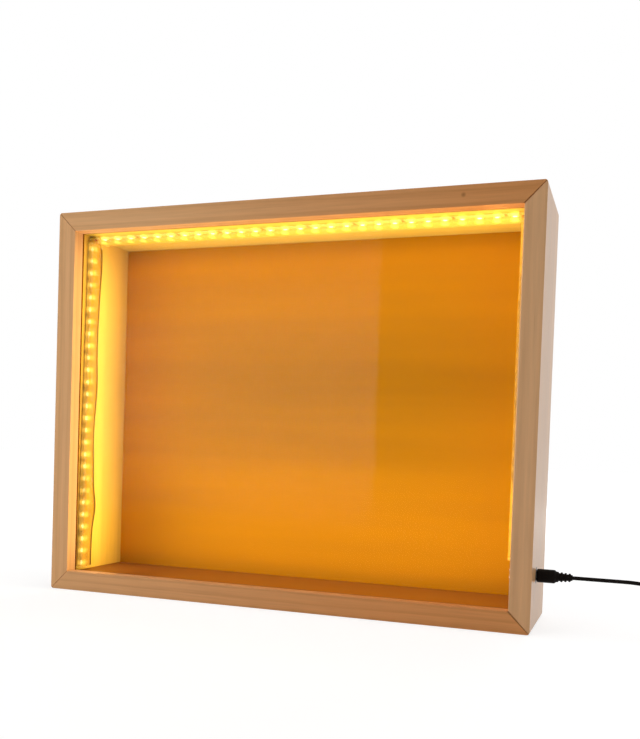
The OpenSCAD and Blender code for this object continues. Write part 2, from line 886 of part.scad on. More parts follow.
// A round-headed screw along Z, its head's seat at Z = 0
module screw(length, d) {
  translate([0, 0, -length]) cylinder(h = length, d = screw_d);
  cylinder(h = head_t / 2, d = d);
  translate([0, 0, head_t / 2]) cylinder(h = head_t / 2, d1 = d, d2 = d * dome_share);
}

module hanger_screws() {
  color(steel) at_strap_screws() translate([0, 0, 2 * strap_t])
    screw(2 * strap_t + strap_screw_l, strap_head_d);
}

// Turn buttons: flat bars that reach from the rim over the back panel

module turn_button(i) {
  color(steel) at_button(i) translate([0, button_gap, 0]) mirror([0, 0, i < 2 ? 1 : 0]) slab(0, button_t)
    difference() {
      union() {
        circle(d = button_w);
        translate([-button_w / 2, 0]) square([button_w, button_l - button_w / 2]);
        translate([0, button_l - button_w / 2]) circle(d = button_w);
      }
      circle(d = screw_d + 2 * pin_gap);
    }
}

module turn_button_a() {
  turn_button(0);
}

module turn_button_b() {
  turn_button(1);
}

module turn_button_c() {
  turn_button(2);
}

module turn_button_d() {
  turn_button(3);
}

module turn_screws() {
  stack = button_t + 2 * button_gap;
  color(steel) at_buttons() mirror([0, 0, 1]) translate([0, 0, stack]) screw(stack + screw_l, head_d);
}

top_rail();
bottom_rail();
left_stile();
right_stile();
v_nails();
front_pane();
spacer_top();
spacer_bottom();
spacer_left();
spacer_right();
back_panel();
strip_top();
strip_left();
strip_right();
lamps_on_top();
lamps_on_left();
lamps_on_right();
sleeve_top();
sleeve_left();
sleeve_right();
sleeve_plugs();
jumper_wires_red();
jumper_wires_black();
feed_wire_red();
feed_wire_black();
socket_body();
socket_nut();
socket_pin();
socket_tags();
plug_grip();
plug_barrel();
plug_tip();
lead_cord();
lead_coil();
lead_tail();
coil_tie();
supply_grip();
supply_shell();
supply_tongue();
supply_contacts();
hanger_strap();
hanger_ring();
hanger_screws();
turn_button_a();
turn_button_b();
turn_button_c();
turn_button_d();
turn_screws();
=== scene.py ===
"""Looks of a lit pine shadow box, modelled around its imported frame."""

import math

import bmesh
import bpy
from mathutils import Matrix, Vector


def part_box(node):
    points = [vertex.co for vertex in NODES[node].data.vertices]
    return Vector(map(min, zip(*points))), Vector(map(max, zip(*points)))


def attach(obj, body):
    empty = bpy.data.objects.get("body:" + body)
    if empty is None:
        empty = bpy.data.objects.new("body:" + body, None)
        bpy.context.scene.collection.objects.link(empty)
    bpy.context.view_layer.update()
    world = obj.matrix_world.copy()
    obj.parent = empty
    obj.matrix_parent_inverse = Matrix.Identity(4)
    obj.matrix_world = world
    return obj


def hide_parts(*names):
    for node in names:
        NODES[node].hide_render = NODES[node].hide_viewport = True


bl_info = {
    "name": "LED shadow box",
    "version": (1, 0, 0),
    "blender": (4, 5, 0),
    "location": "3D View > Sidebar > Shadow Box",
    "description": "Models the finish, the light strips and the power lead of a lit pine shadow box",
    "category": "Object",
}

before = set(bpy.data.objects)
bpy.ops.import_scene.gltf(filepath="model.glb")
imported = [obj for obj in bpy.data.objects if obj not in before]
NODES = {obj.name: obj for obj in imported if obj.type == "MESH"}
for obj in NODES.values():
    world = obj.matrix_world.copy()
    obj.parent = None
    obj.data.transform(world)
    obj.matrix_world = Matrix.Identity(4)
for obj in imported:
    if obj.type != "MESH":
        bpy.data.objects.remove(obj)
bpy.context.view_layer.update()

MM = 0.001
X, Z = 0, 2
AXES = "XYZ"
# Edges between faces that meet flatter than this are drawn away
FLAT = math.radians(0.5)
# Edges between faces that meet sharper than this stay sharp
SHARP = math.radians(32)
# Points closer than the first become one, and points closer than the second lie at the same depth
WELD = 0.002 * MM
NEAR = 0.1 * MM
# Sockets of a Mix node set to colours, and its settings where it multiplies them
FACTOR, FIRST, SECOND, RESULT = 0, 6, 7, 2
MULTIPLY = {"data_type": "RGBA", "blend_type": "MULTIPLY"}
# A wave texture is a sine of twenty times the scaled place
WAVE = math.tau / 20

# Values that the part's solids share with the soft pieces made here, in millimetres
CORD_D = 2
LOOP_GAP = 0.58
LAYER_GAP = 0.5
COIL_LAYERS = 4
COIL_INNER_R = 8.2
COIL_TURNS = 11.75
LAY_Z = 1.8
SLEEVE_W = 12
SLEEVE_T = 4.2
ROW_INSET = 2.9
CAP_L = 1.5
LAMP_COUNTS = {"top": 28, "left": 27, "right": 24}
LAMP_L = 3.5
LAMP_W = 2.8
LAMP_T = 0.8
LENS_D = 2.2
LENS_T = 0.2
WIRE_D = 1
WIRE_PITCH = 3
JUMPER_R = 2.5
TAG_OFF = 2.2
# The free stretch of the cord: way along X, and share of the way down to the floor
LEAD_ROUTE = [
    (0, 0), (8, 0), (16, 0), (24, 0), (30, 0.005), (35.5, 0.03), (40.5, 0.085), (45, 0.18), (49, 0.305),
    (52.5, 0.45), (56, 0.61), (60, 0.775), (64.5, 0.905), (69, 0.975), (73, 1), (75, 1),
]
# The stretch from the coil to the supply plug: ways along X and Y, and share of the way down
TAIL_ROUTE = [
    (0, 0, 0), (0, -5, 0), (0.2, -11, 0.06), (0.8, -17, 0.18), (2.6, -22.5, 0.36), (6, -27, 0.56),
    (10.5, -30.2, 0.75), (15, -31.7, 0.92), (19, -32, 1), (22, -32, 1),
]


def linear(hex_colour):
    """The linear red, green, blue and alpha of an sRGB hex colour."""
    value = int(hex_colour.lstrip("#"), 16)
    shares = [(value >> shift & 255) / 255 for shift in (16, 8, 0)]
    return (*(s / 12.92 if s <= 0.04045 else ((s + 0.055) / 1.055) ** 2.4 for s in shares), 1.0)


def colour(label, text, value):
    """A colour setting with its sRGB default."""
    return bpy.props.FloatVectorProperty(
        name=label, description=text, subtype="COLOR", size=4, min=0, max=1, default=linear(value)
    )


def length(label, text, millimetres):
    """A length setting with its default in millimetres."""
    return bpy.props.FloatProperty(
        name=label, description=text, default=millimetres * MM, min=0, unit="LENGTH", subtype="DISTANCE"
    )


def level(label, text, value):
    """A plain number setting."""
    return bpy.props.FloatProperty(name=label, description=text, default=value, min=0)


def angle(label, text, degrees):
    """An angle setting with its default in degrees."""
    return bpy.props.FloatProperty(
        name=label, description=text, default=math.radians(degrees), subtype="ANGLE"
    )


class StageSettings(bpy.types.PropertyGroup):
    """The camera, the floor and the light of the studio"""

    camera_at: bpy.props.FloatVectorProperty(
        name="Camera place", description="Where the camera stands", subtype="TRANSLATION", unit="LENGTH",
        default=(188.15 * MM, -476.7 * MM, 88.12 * MM),
    )
    camera_turn: angle("Camera turn", "Turn of the camera to the left, seen from above", 19.705)
    camera_tilt: angle("Camera tilt", "How far the camera looks up", -1.84)
    camera_roll: angle("Camera roll", "Roll of the camera about its own view", 1.929)
    camera_lens: bpy.props.FloatProperty(
        name="Camera lens", description="Focal length on a 36 mm sensor", default=42.839, min=1, unit="CAMERA"
    )
    camera_shift: level("Camera shift", "Upward shift of the view, as a share of its height", 0.1488)
    ambient: level("Ambient light", "Brightness of the surroundings on dull surfaces", 0.18)
    key_power: level("Key light", "Power of the soft light at the front left, in watts", 1.5)
    window: level("Window", "Brightness of the window that the pane mirrors", 7.5)
    side_power: level("Side light", "Power of the soft light at the right, in watts", 1.5)
    top_power: level("Top light", "Power of the soft light overhead, in watts", 5)
    back_power: level("Back light", "Power of the soft light behind the box, in watts", 6)
    floor: colour("Floor", "Colour of the pale floor", "#EDEBE8")


class WoodSettings(bpy.types.PropertyGroup):
    """The boards of the box and its back panel"""

    early: colour("Early wood", "Pale part of a growth ring of the frame's pine", "#D8A878")
    late: colour("Late wood", "Dark part of a growth ring of the frame's pine", "#D0A070")
    # Painted shade: this tint darkens the top and bottom rails towards their right ends
    painted_rail_shade: colour("Painted rail shade", "Painted shade that darkens the rails towards their right ends", "#FFE6CC")
    joint: colour("Mitre line", "Glue and shade in the mitres", "#B07A48")
    liner: colour("Liner wood", "Pale pine of the boards inside the box", "#E8C97A")
    # The upper and lower liners are pine with painted light and painted shade: yellower under the top strip,
    # browner where little light falls
    top_liner_painted_light: colour("Upper liner wood", "Liner pine with painted light, over the display space", "#F0DC82")
    floor_liner_painted_shade: colour("Lower liner wood", "Liner pine with painted shade, under the display space", "#98662F")
    panel: colour("Panel face", "Warm face of the back panel", "#CB8D0A")
    # Painted shade: a brown line on the liners' edge round the pane, where little light falls
    pane_edge_shade: colour("Pane edge shade", "Brown line round the pane, where the liners meet it", "#8A5418")
    pane_edge_shade_width: length("Pane edge shade width", "Width of the brown line round the pane", 0.8)
    top_pane_edge_shade: length("Top pane edge shade width", "Width of the brown line over the pane", 2.4)
    panel_back: colour("Panel back", "Bare fibreboard at the back", "#8A6440")
    ring_gap: length("Ring spacing", "Distance between two growth rings", 4.5)
    edge: length("Eased edges", "Rounding of the long edges of the boards", 0.7)
    inner_edge: length("Inner edge", "Rounding of the boards' edge around the opening", 1.6)
    tight_mitre: length("Tight mitre", "Half width of the mitre lines on the left", 0.22)
    open_mitre: length("Open mitre", "Half width of the mitre lines on the right", 0.5)


class LampSettings(bpy.types.PropertyGroup):
    """The light strips along the inner walls"""

    glow: colour("Glow", "Colour of the lamps' light", "#FFDA59")
    lens_glow: colour("Lens glow", "Colour of the lens itself, paler than its light", "#FFF0A8")
    lens: level("Lens light", "Brightness of a lamp's lens", 4)
    package: level("Package light", "Brightness of the lit package round a lens", 1.3)
    board: level("Board light", "Brightness of the lit board between the lamps", 0.5)
    top_glow: level("Top glow", "Power of the light that the top strip sheds into the box, in watts", 0.006)
    side_glow: level("Side glow", "Power of the light that a side strip sheds into the box, in watts", 0.005)
    wall_glow: level("Wall glow", "Power of the light that a strip sheds on its own wall, in watts", 0.046)
    lip_glow: level("Lip glow", "Power of the light that the pane's edge sheds on a lip, in watts", 0.014)
    lip_tone: colour("Lip tone", "Colour of the light that the pane's edge sheds", "#FFF6D8")
    round_glow: level("Round glow", "Power of the light that goes round between the walls, in watts", 0.068)
    silicone: colour("Silicone", "Tint of the soft sleeves", "#E0AE4A")
    # Painted shade: the dark tint along the sleeves' edges and in their creases
    silicone_rim_shade: colour("Silicone rim", "Tint of the painted shade along the sleeves' edges", "#38200A")


class LeadSettings(bpy.types.PropertyGroup):
    """The power lead"""

    lead_length: length("Lead length", "Length of the cord from the strain relief to the supply plug", 1019)
    sheath: colour("Sheath", "Colour of the cord and the moulded grips", "#0F0A07")


# Tools for pieces


def pick(*objects):
    """Select only these objects and make the first one active."""
    bpy.ops.object.select_all(action="DESELECT")
    for each in objects:
        each.select_set(True)
    bpy.context.view_layer.objects.active = objects[0]


def edit(piece):
    """Go into edit mode on one piece with all of it selected."""
    pick(piece)
    bpy.ops.object.mode_set(mode="EDIT")
    bpy.ops.mesh.select_all(action="SELECT")


def leave_edit():
    """Go back to object mode."""
    bpy.ops.object.mode_set(mode="OBJECT")


def select(piece, part, test):
    """In edit mode, select only those edges or faces that pass a test."""
    bpy.ops.mesh.select_mode(type=part)
    bpy.ops.mesh.select_all(action="DESELECT")
    mesh = bmesh.from_edit_mesh(piece.data)
    for item in mesh.edges if part == "EDGE" else mesh.faces:
        item.select_set(test(item))
    bmesh.update_edit_mesh(piece.data)


def bevel(piece, test, width, segments, **settings):
    """In edit mode, bevel those edges that pass a test."""
    select(piece, "EDGE", test)
    bpy.ops.mesh.bevel(offset=width, segments=segments, affect="EDGES", **settings)


def in_scene(name, data):
    """A new object in the scene."""
    made = bpy.data.objects.new(name, data)
    bpy.context.scene.collection.objects.link(made)
    return made


def started(primitive, **settings):
    """A new primitive to shape, alone in the selection."""
    bpy.ops.object.select_all(action="DESELECT")
    primitive(**settings)
    return bpy.context.object


def block(*size):
    """A cube to shape, drawn to a size in millimetres."""
    made = started(bpy.ops.mesh.primitive_cube_add, size=1)
    made.data.transform(Matrix.Diagonal((*(side * MM for side in size), 1)))
    return made


def coat(piece, slot, *materials):
    """Give a piece its materials and set all of its faces to one of them."""
    for each in materials:
        piece.data.materials.append(each)
    for face in piece.data.polygons:
        face.material_index = slot


def copy_of(node, name, *materials):
    """A new object with a merged copy of a solid's mesh."""
    mesh = NODES[node].data.copy()
    mesh.materials.clear()
    for each in materials:
        mesh.materials.append(each)
    piece = in_scene(name, mesh)
    edit(piece)
    bpy.ops.mesh.customdata_custom_splitnormals_clear()
    bpy.ops.mesh.remove_doubles(threshold=WELD)
    bpy.ops.mesh.dissolve_limited(angle_limit=FLAT)
    leave_edit()
    return piece


def apply(piece, kind, **settings):
    """Add a modifier with its settings and apply it."""
    pick(piece)
    modifier = piece.modifiers.new(kind.title(), kind)
    for key, value in settings.items():
        setattr(modifier, key, value)
    bpy.ops.object.modifier_apply(modifier=modifier.name)


def ease(piece, width, segments=2):
    """Round every sharp edge of a piece by a width in millimetres."""
    apply(piece, "BEVEL", width=width * MM, segments=segments, limit_method="ANGLE", angle_limit=SHARP)


def dress(piece, slot, *nodes, body="frame"):
    """Smooth a finished piece, its flat faces kept flat, and set it on its body in place of its solids."""
    pick(piece)
    if piece.type == "MESH":
        bpy.ops.object.shade_smooth_by_angle(angle=SHARP)
        apply(piece, "WEIGHTED_NORMAL", keep_sharp=True)
    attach(piece, body)
    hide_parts(*nodes)
    return piece


def eased_copy(node, width, slot, material, body="frame"):
    """A solid's copy, its edges rounded by a width in millimetres, in the solid's place."""
    piece = copy_of(node, "eased_" + node, material)
    ease(piece, width)
    return dress(piece, slot, node, body=body)


def round_tube(name, points, diameter, material):
    """A round tube, its diameter in millimetres, along one open smooth spline through the points."""
    data = bpy.data.curves.new(name, "CURVE")
    data.dimensions = "3D"
    data.bevel_depth = diameter / 2 * MM
    data.bevel_resolution = 3
    data.resolution_u = 4
    data.use_fill_caps = True
    data.materials.append(material)
    spline = data.splines.new("BEZIER")
    spline.bezier_points.add(len(points) - 1)
    for knot, point in zip(spline.bezier_points, points):
        knot.co = point
        knot.handle_left_type = "AUTO"
        knot.handle_right_type = "AUTO"
    return in_scene(name, data)


def joined(name, pieces):
    """One mesh made of several."""
    pick(*pieces)
    bpy.ops.object.join()
    pieces[0].name = name
    pieces[0].data.name = name
    return pieces[0]


def placed(model, matrix):
    """A copy of a model, with its own mesh, whose place is in its mesh."""
    piece = in_scene(model.name, model.data.copy())
    piece.data.transform(matrix)
    return piece


# Materials


def set_inputs(tree, node, inputs):
    """Set a node's inputs, by name or in order, or link them to sockets or to nodes' first outputs."""
    for key, value in inputs.items() if isinstance(inputs, dict) else enumerate(inputs):
        if isinstance(value, bpy.types.Node):
            value = value.outputs[0]
        if isinstance(value, bpy.types.NodeSocket):
            tree.links.new(value, node.inputs[key])
        else:
            node.inputs[key].default_value = value


def add_node(tree, kind, inputs=None, stops=(), **settings):
    """Add one shader node with its settings, its inputs and its colour stops.

    A Map Range node's inputs in order are the value, the two ends of its range and what these become.
    """
    node = tree.nodes.new("ShaderNode" + kind)
    for key, value in settings.items():
        setattr(node, key, value)
    set_inputs(tree, node, inputs or {})
    for index, (position, shade) in enumerate(stops):
        ramp = node.color_ramp.elements
        stop = ramp[index] if index < len(ramp) else ramp.new(position)
        stop.position = position
        stop.color = shade
    return node


def new_material(name, inputs):
    """A material with one Principled shader, its node tree and the shader."""
    made = bpy.data.materials.new(name)
    made.use_nodes = True
    shader = made.node_tree.nodes["Principled BSDF"]
    set_inputs(made.node_tree, shader, inputs)
    return made, made.node_tree, shader


def grey(value):
    """A grey colour."""
    return (value, value, value, 1.0)


def times(tone, share):
    """A darker or lighter tone."""
    return (*(min(1.0, part * share) for part in tone[:3]), 1.0)


def stretched(along, share):
    """A scale that draws a pattern out along one axis."""
    return [share if axis == along else 1.0 for axis in range(3)]


def wood(name, along, pith, early, late, ring_gap, roughness, sheen=0.08, painted_rail_shade=None, knot=None):
    """Planed pine under a thin wax: ring lines along the board, fine fibres and a soft sheen.

    A painted rail shade is a tint and the stretch along the board in which it comes in; a knot is a place.
    """
    made, tree, shader = new_material(name, {"Specular IOR Level": sheen})
    place = add_node(tree, "TexCoord").outputs["Object"]
    ring_space = add_node(tree, "Mapping", {
        "Vector": place, "Location": [-p * MM for p in pith], "Scale": stretched(along, 0.04)})
    rings = add_node(tree, "TexWave", {
        "Vector": ring_space, "Scale": WAVE / ring_gap, "Distortion": 9,
        "Detail": 3, "Detail Scale": 0.35, "Detail Roughness": 0.55,
    }, wave_type="RINGS", rings_direction=AXES[along], wave_profile="SAW")
    base = add_node(tree, "ValToRGB", {"Fac": rings.outputs["Fac"]}, [
        (0, early), (0.35, early), (0.85, late), (1, early)])
    fibre_space = add_node(tree, "Mapping", {"Vector": place, "Scale": stretched(along, 0.03)})
    # Fibres of about a millimetre, as coarse as they need to be to show, and broader streaks
    fibres = add_node(tree, "TexNoise", {
        "Vector": fibre_space, "Scale": 1 / (1.1 * MM), "Detail": 4, "Roughness": 0.6})
    streaks = add_node(tree, "TexNoise", {
        "Vector": fibre_space, "Scale": 1 / (14 * MM), "Detail": 2})
    for noise, *stops in (
        (fibres, (0.3, grey(0.92)), (0.65, grey(1.03))),
        (streaks, (0.3, grey(0.95)), (0.7, grey(1.04))),
    ):
        shade = add_node(tree, "ValToRGB", {"Fac": noise}, stops)
        base = add_node(tree, "Mix", {FACTOR: 1.0, FIRST: base, SECOND: shade}, **MULTIPLY).outputs[RESULT]
    # Painted shade: the tint darkens the board along its given stretch
    if painted_rail_shade is not None:
        tint, start, end = painted_rail_shade
        way = add_node(tree, "SeparateXYZ", (place,)).outputs[along]
        depth = add_node(tree, "MapRange", (way, start * MM, end * MM))
        base = add_node(tree, "Mix", {FACTOR: depth, FIRST: base, SECOND: tint}, **MULTIPLY).outputs[RESULT]
    if knot is not None:
        way = add_node(tree, "VectorMath", (place, knot), operation="DISTANCE").outputs["Value"]
        ring = add_node(tree, "MapRange", (way, 0.4 * MM, 1.5 * MM, 0.4, 0))
        base = add_node(tree, "Mix", {
            FACTOR: ring, FIRST: base, SECOND: linear("#4A2C16")}, data_type="RGBA").outputs[RESULT]
    gloss = add_node(tree, "MapRange", (fibres, 0, 1, roughness - 0.08, roughness + 0.1))
    relief = add_node(tree, "Bump", {"Height": fibres, "Strength": 0.25, "Distance": 0.15 * MM})
    set_inputs(tree, shader, {"Base Color": base, "Roughness": gloss, "Normal": relief})
    return made


def mottled(name, base, grain, inputs, contrast=0.12, relief=0.1):
    """A moulded, plated or pressed surface: one colour with a fine mottle in its tone, gloss and height.

    The grain is the mottle's size in millimetres.
    """
    made, tree, shader = new_material(name, inputs)
    place = add_node(tree, "TexCoord").outputs["Object"]
    noise = add_node(tree, "TexNoise", {
        "Vector": place, "Scale": 1 / (grain * MM), "Detail": 4})
    shade = add_node(tree, "ValToRGB", {"Fac": noise}, [
        (0.3, times(base, 1 - contrast)), (0.7, times(base, 1 + contrast))])
    rough = shader.inputs["Roughness"].default_value
    gloss = add_node(tree, "MapRange", (noise, 0, 1, max(0.0, rough - 0.08), rough + 0.08))
    bump = add_node(tree, "Bump", {"Height": noise, "Strength": relief, "Distance": 0.1 * MM})
    set_inputs(tree, shader, {"Base Color": shade, "Roughness": gloss, "Normal": bump})
    return made


def shared(name, *looks):
    """The mottled material of that name, made the first time it is asked for."""
    return bpy.data.materials.get(name) or mottled(name, *looks)


def zinc_steel():
    """Zinc-plated sheet and wire: a dull silver with a faint cloudy spangle."""
    return shared("Zinc plated steel", linear("#B9B6AE"), 1.5, {"Metallic": 1.0, "Roughness": 0.34})


def nickel():
    """Bright nickel plate on the plug's metal."""
    return shared("Nickel plate", linear("#D4D2CC"), 2, {"Metallic": 1.0, "Roughness": 0.18}, 0.05, 0.02)


def black_rubber():
    """Soft black sheath and grips, moulded with a satin skin."""
    tone = bpy.context.scene.shadow_box_lead.sheath
    return shared("Black soft vinyl", tone, 0.4, {"Roughness": 0.5, "Specular IOR Level": 0.06}, 0.25, 0.12)


def black_plastic():
    """Hard black moulded plastic of the socket."""
    return shared("Black ABS", linear("#1B1917"), 0.5, {"Roughness": 0.36}, 0.2, 0.08)


# Stage


def set_camera(look):
    """Place the camera at the photograph's viewing angle."""
    data = bpy.data.cameras.new("Camera")
    data.sensor_width = 36
    data.lens = look.camera_lens
    data.shift_y = look.camera_shift
    data.clip_start = 10 * MM
    camera = in_scene("Camera", data)
    camera.matrix_world = (
        Matrix.Translation(look.camera_at)
        @ Matrix.Rotation(look.camera_turn, 4, "Z")
        @ Matrix.Rotation(math.pi / 2 + look.camera_tilt, 4, "X")
        @ Matrix.Rotation(look.camera_roll, 4, "Z")
    )
    bpy.context.scene.camera = camera


def seen_directly(tree):
    """A factor that is 1 where the camera, a mirror or clear glass looks at the surroundings."""
    path = add_node(tree, "LightPath").outputs
    factor = path["Is Camera Ray"]
    for ray in ("Is Glossy Ray", "Is Transmission Ray"):
        factor = add_node(tree, "Math", (factor, path[ray]), operation="MAXIMUM")
    return factor


def set_world(look):
    """White surroundings that light the object at a plain level."""
    world = bpy.data.worlds.new("Studio")
    world.use_nodes = True
    tree = world.node_tree
    tree.nodes.clear()
    dull = add_node(tree, "Background", {"Color": grey(1), "Strength": look.ambient})
    white = add_node(tree, "Background", {"Color": grey(1), "Strength": 1.0})
    mix = add_node(tree, "MixShader", (seen_directly(tree), dull, white))
    add_node(tree, "OutputWorld", (mix,))
    bpy.context.scene.world = world


def lay_floor(look):
    """A wide pale floor that looks white to the camera and keeps a faint shadow."""
    floor = started(bpy.ops.mesh.primitive_plane_add, size=12, location=(0, 0, -0.2 * MM))
    floor.name = "floor"
    made = bpy.data.materials.new("Pale floor")
    made.use_nodes = True
    tree = made.node_tree
    tree.nodes.clear()
    dull = add_node(tree, "BsdfDiffuse", {"Color": look.floor})
    faint = add_node(tree, "BsdfDiffuse", {"Color": grey(0.35)})
    # Whiter away from the box, so that the floor runs into the surroundings
    place = add_node(tree, "TexCoord").outputs["Object"]
    way = add_node(tree, "VectorMath", (place,), operation="LENGTH").outputs["Value"]
    shine = add_node(tree, "MapRange", (way, 0.3, 0.75, 0.75, 1.0))
    white = add_node(tree, "Emission", {"Color": grey(1), "Strength": shine})
    lit = add_node(tree, "AddShader", (faint, white))
    mix = add_node(tree, "MixShader", (seen_directly(tree), dull, lit))
    add_node(tree, "OutputMaterial", (mix,))
    floor.data.materials.append(made)


def hide(thing, *rays):
    """Hide an object from some kinds of rays."""
    for ray in rays:
        setattr(thing, "visible_" + ray, False)


def soft_light(name, place, towards, width, height, power, tint=(1, 1, 1)):
    """A rectangular lamp that lights dull surfaces and isn't seen itself."""
    data = bpy.data.lights.new(name, "AREA")
    data.shape = "RECTANGLE"
    data.size = width
    data.size_y = height
    data.energy = power
    data.color = tint
    lamp = in_scene(name, data)
    lamp.location = place
    lamp.rotation_euler = (Vector(towards) - Vector(place)).to_track_quat("-Z", "Y").to_euler()
    hide(lamp, "camera", "transmission", "glossy")
    return lamp


# The window behind the camera, in metres: its width and height, and its middle
WINDOW_SIZE = (0.43, 0.62)
WINDOW_AT = (-0.315, -0.56, 0.22)


def hang_window(look):
    """A bright window behind the camera that shows only in glossy surfaces, above all in the pane."""
    window = started(bpy.ops.mesh.primitive_plane_add, size=1)
    window.name = "window"
    window.data.transform(Matrix.Diagonal((*WINDOW_SIZE, 1, 1)))
    window.data.transform(Matrix.Rotation(math.pi / 2, 4, "X"))
    window.data.transform(Matrix.Translation(WINDOW_AT))
    made, tree, shader = new_material("Bright window", {"Base Color": grey(0), "Emission Color": grey(1)})
    # The sky outside it dims upwards, and its sill shades its foot
    place = add_node(tree, "TexCoord").outputs["Object"]
    height = add_node(tree, "SeparateXYZ", (place,)).outputs[Z]
    sky = add_node(tree, "MapRange", (height, 0.22, 0.36, look.window, 0.4 * look.window))
    sill = add_node(tree, "MapRange", (height, 0, 0.11, 0.3, 1))
    light = add_node(tree, "Math", (sky, sill), operation="MULTIPLY")
    set_inputs(tree, shader, {"Emission Strength": light})
    window.data.materials.append(made)
    hide(window, "camera", "diffuse", "transmission", "shadow")


class SHADOWBOX_OT_stage(bpy.types.Operator):
    """Set the camera, the pale floor, the white surroundings and the studio's lamps"""

    bl_idname = "shadowbox.stage"
    bl_label = "Stage"

    def execute(self, context):
        look = context.scene.shadow_box_stage
        context.scene.view_settings.view_transform = "Standard"
        set_camera(look)
        set_world(look)
        lay_floor(look)
        soft_light("key_light", (-0.305, -0.55, 0.2), (-0.305, 0, 0.2), 0.41, 0.42, look.key_power)
        hang_window(look)
        soft_light("side_light", (0.9, 0.05, 0.45), (0.14, 0.02, 0.11), 0.5, 0.6, look.side_power)
        soft_light("top_light", (0, 0, 1.1), (0, 0, 0), 0.8, 0.8, look.top_power)
        soft_light("back_light", (0.1, 1.1, 0.5), (0, 0, 0.1), 0.8, 0.6, look.back_power)
        return {"FINISHED"}


# Power lead


def lead_points():
    """The middle of the cord: down to the floor, round the coil and on to the supply plug, in metres."""
    low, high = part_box("plug_grip")
    start = Vector((high.x, (low.y + high.y) / 2, (low.z + high.z) / 2))
    drop = LAY_Z * MM - start.z
    points = [start + Vector((way * MM, 0, share * drop)) for way, share in LEAD_ROUTE]
    layer_turns = COIL_TURNS / COIL_LAYERS
    outer_r = COIL_INNER_R + layer_turns * (CORD_D + LOOP_GAP)
    rise = CORD_D + LAYER_GAP
    middle = points[-1] + Vector((CORD_D, outer_r, 0)) * MM
    rings = 24
    for step in range(int(COIL_TURNS * rings) + 1):
        turns = step / rings
        layer = min(int(turns / layer_turns), COIL_LAYERS - 1)
        share = turns / layer_turns - layer
        inward = share if layer % 2 == 0 else 1 - share
        radius = outer_r + inward * (COIL_INNER_R - outer_r)
        climb = 0
        for reversal in range(1, COIL_LAYERS):
            ramp = min(max(2 * (turns - reversal * layer_turns) + 0.5, 0), 1)
            climb += ramp * ramp * (3 - 2 * ramp)
        turn = math.tau * turns - math.pi / 2
        points.append(middle + Vector((radius * math.cos(turn), radius * math.sin(turn), rise * climb)) * MM)
    low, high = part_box("supply_grip")
    tail = middle + Vector((-outer_r, -CORD_D, (COIL_LAYERS - 1) * rise)) * MM
    drop = (low.z + high.z) / 2 - tail.z
    points += [tail + Vector((x * MM, y * MM, share * drop)) for x, y, share in TAIL_ROUTE]
    return points


class SHADOWBOX_OT_plug(bpy.types.Operator):
    """Model the moulded plug with its ringed strain relief and its metal barrel"""

    bl_idname = "shadowbox.plug"
    bl_label = "Plug"

    def execute(self, context):
        eased_copy("plug_grip", 0.22, "black_rubber", black_rubber(), "power_lead")
        eased_copy("plug_barrel", 0.12, "plated_metal", nickel(), "power_lead")
        eased_copy("plug_tip", 0.12, "black_plastic", black_plastic(), "power_lead")
        return {"FINISHED"}


class SHADOWBOX_OT_supply_plug(bpy.types.Operator):
    """Model the flat supply plug at the far end of the lead"""

    bl_idname = "shadowbox.supply_plug"
    bl_label = "Supply plug"

    def execute(self, context):
        white = mottled("White moulded plastic", linear("#DADAD4"), 0.6, {"Roughness": 0.4})
        gold = mottled("Gold plated contacts", linear("#D9A84C"), 0.6, {"Metallic": 1.0, "Roughness": 0.22})
        eased_copy("supply_grip", 0.6, "black_rubber", black_rubber(), "power_lead")
        eased_copy("supply_shell", 0.06, "plated_metal", nickel(), "power_lead")
        eased_copy("supply_tongue", 0.2, "white_plastic", white, "power_lead")
        eased_copy("supply_contacts", 0.05, "gold_contact", gold, "power_lead")
        return {"FINISHED"}


class SHADOWBOX_OT_lead(bpy.types.Operator):
    """Lay the cord down to the floor, wind it into its tied coil and lead it to the supply plug"""

    bl_idname = "shadowbox.lead"
    bl_label = "Power lead"

    def execute(self, context):
        tie = eased_copy("coil_tie", 0.15, "tie", black_plastic(), "power_lead")
        points = lead_points()
        cord = round_tube("power_cord", points, CORD_D, black_rubber())
        dress(cord, "black_rubber", "lead_cord", "lead_coil", "lead_tail", body="power_lead")
        return {"FINISHED"}


# Box


INWARD = {
    "top": Vector((0, 0, -1)), "bottom": Vector((0, 0, 1)),
    "left": Vector((1, 0, 0)), "right": Vector((-1, 0, 0)),
}
# Each board of the frame: its length's axis, where its growth rings have their middle and the stretch along
# it over which painted shade darkens its tone, in millimetres, and its roughness and sheen. The photograph
# shows a pale sheen on the right stile. The others are dull, which is a guess that also keeps the stage's
# window from glaring on them from behind.
BOARDS = {
    "top_rail": (X, (0, 34, 158), (-80, 110), 0.6, 0.015),
    "bottom_rail": (X, (0, -12, 74), (-150, 70), 0.6, 0.015),
    "left_stile": (Z, (-86, 22, 0), None, 0.6, 0.015),
    "right_stile": (Z, (196, 38, 0), None, 0.3, 0.32),
}
# A small knot in the face of the top rail
KNOT_AT = Vector((100.5, -31.5, 220)) * MM


def on_mitre(edge, depth):
    """Whether an edge borders the slanted end of a board at a depth."""
    return all(abs(vert.co.y - depth) < NEAR for vert in edge.verts) and any(
        abs(face.normal.x) > 0.6 and abs(face.normal.z) > 0.6 and face.calc_area() > 100 * MM * MM
        for face in edge.link_faces
    )


def runs_along(edge, axis):
    """Whether an edge is one of the long edges of a board."""
    way = edge.verts[1].co - edge.verts[0].co
    return abs(way[axis]) > 50 * MM and abs(way[axis]) > 0.99 * way.length


def is_sharp(edge):
    """Whether two faces meet sharply at an edge."""
    return len(edge.link_faces) == 2 and edge.calc_face_angle() > SHARP


def looks_in(edge, side, depth):
    """Whether an edge lies at a depth and borders a face that looks into the opening from that side."""
    return abs(edge.verts[0].co.y - depth) < NEAR and any(
        face.normal.dot(INWARD[side]) > 0.9 for face in edge.link_faces)


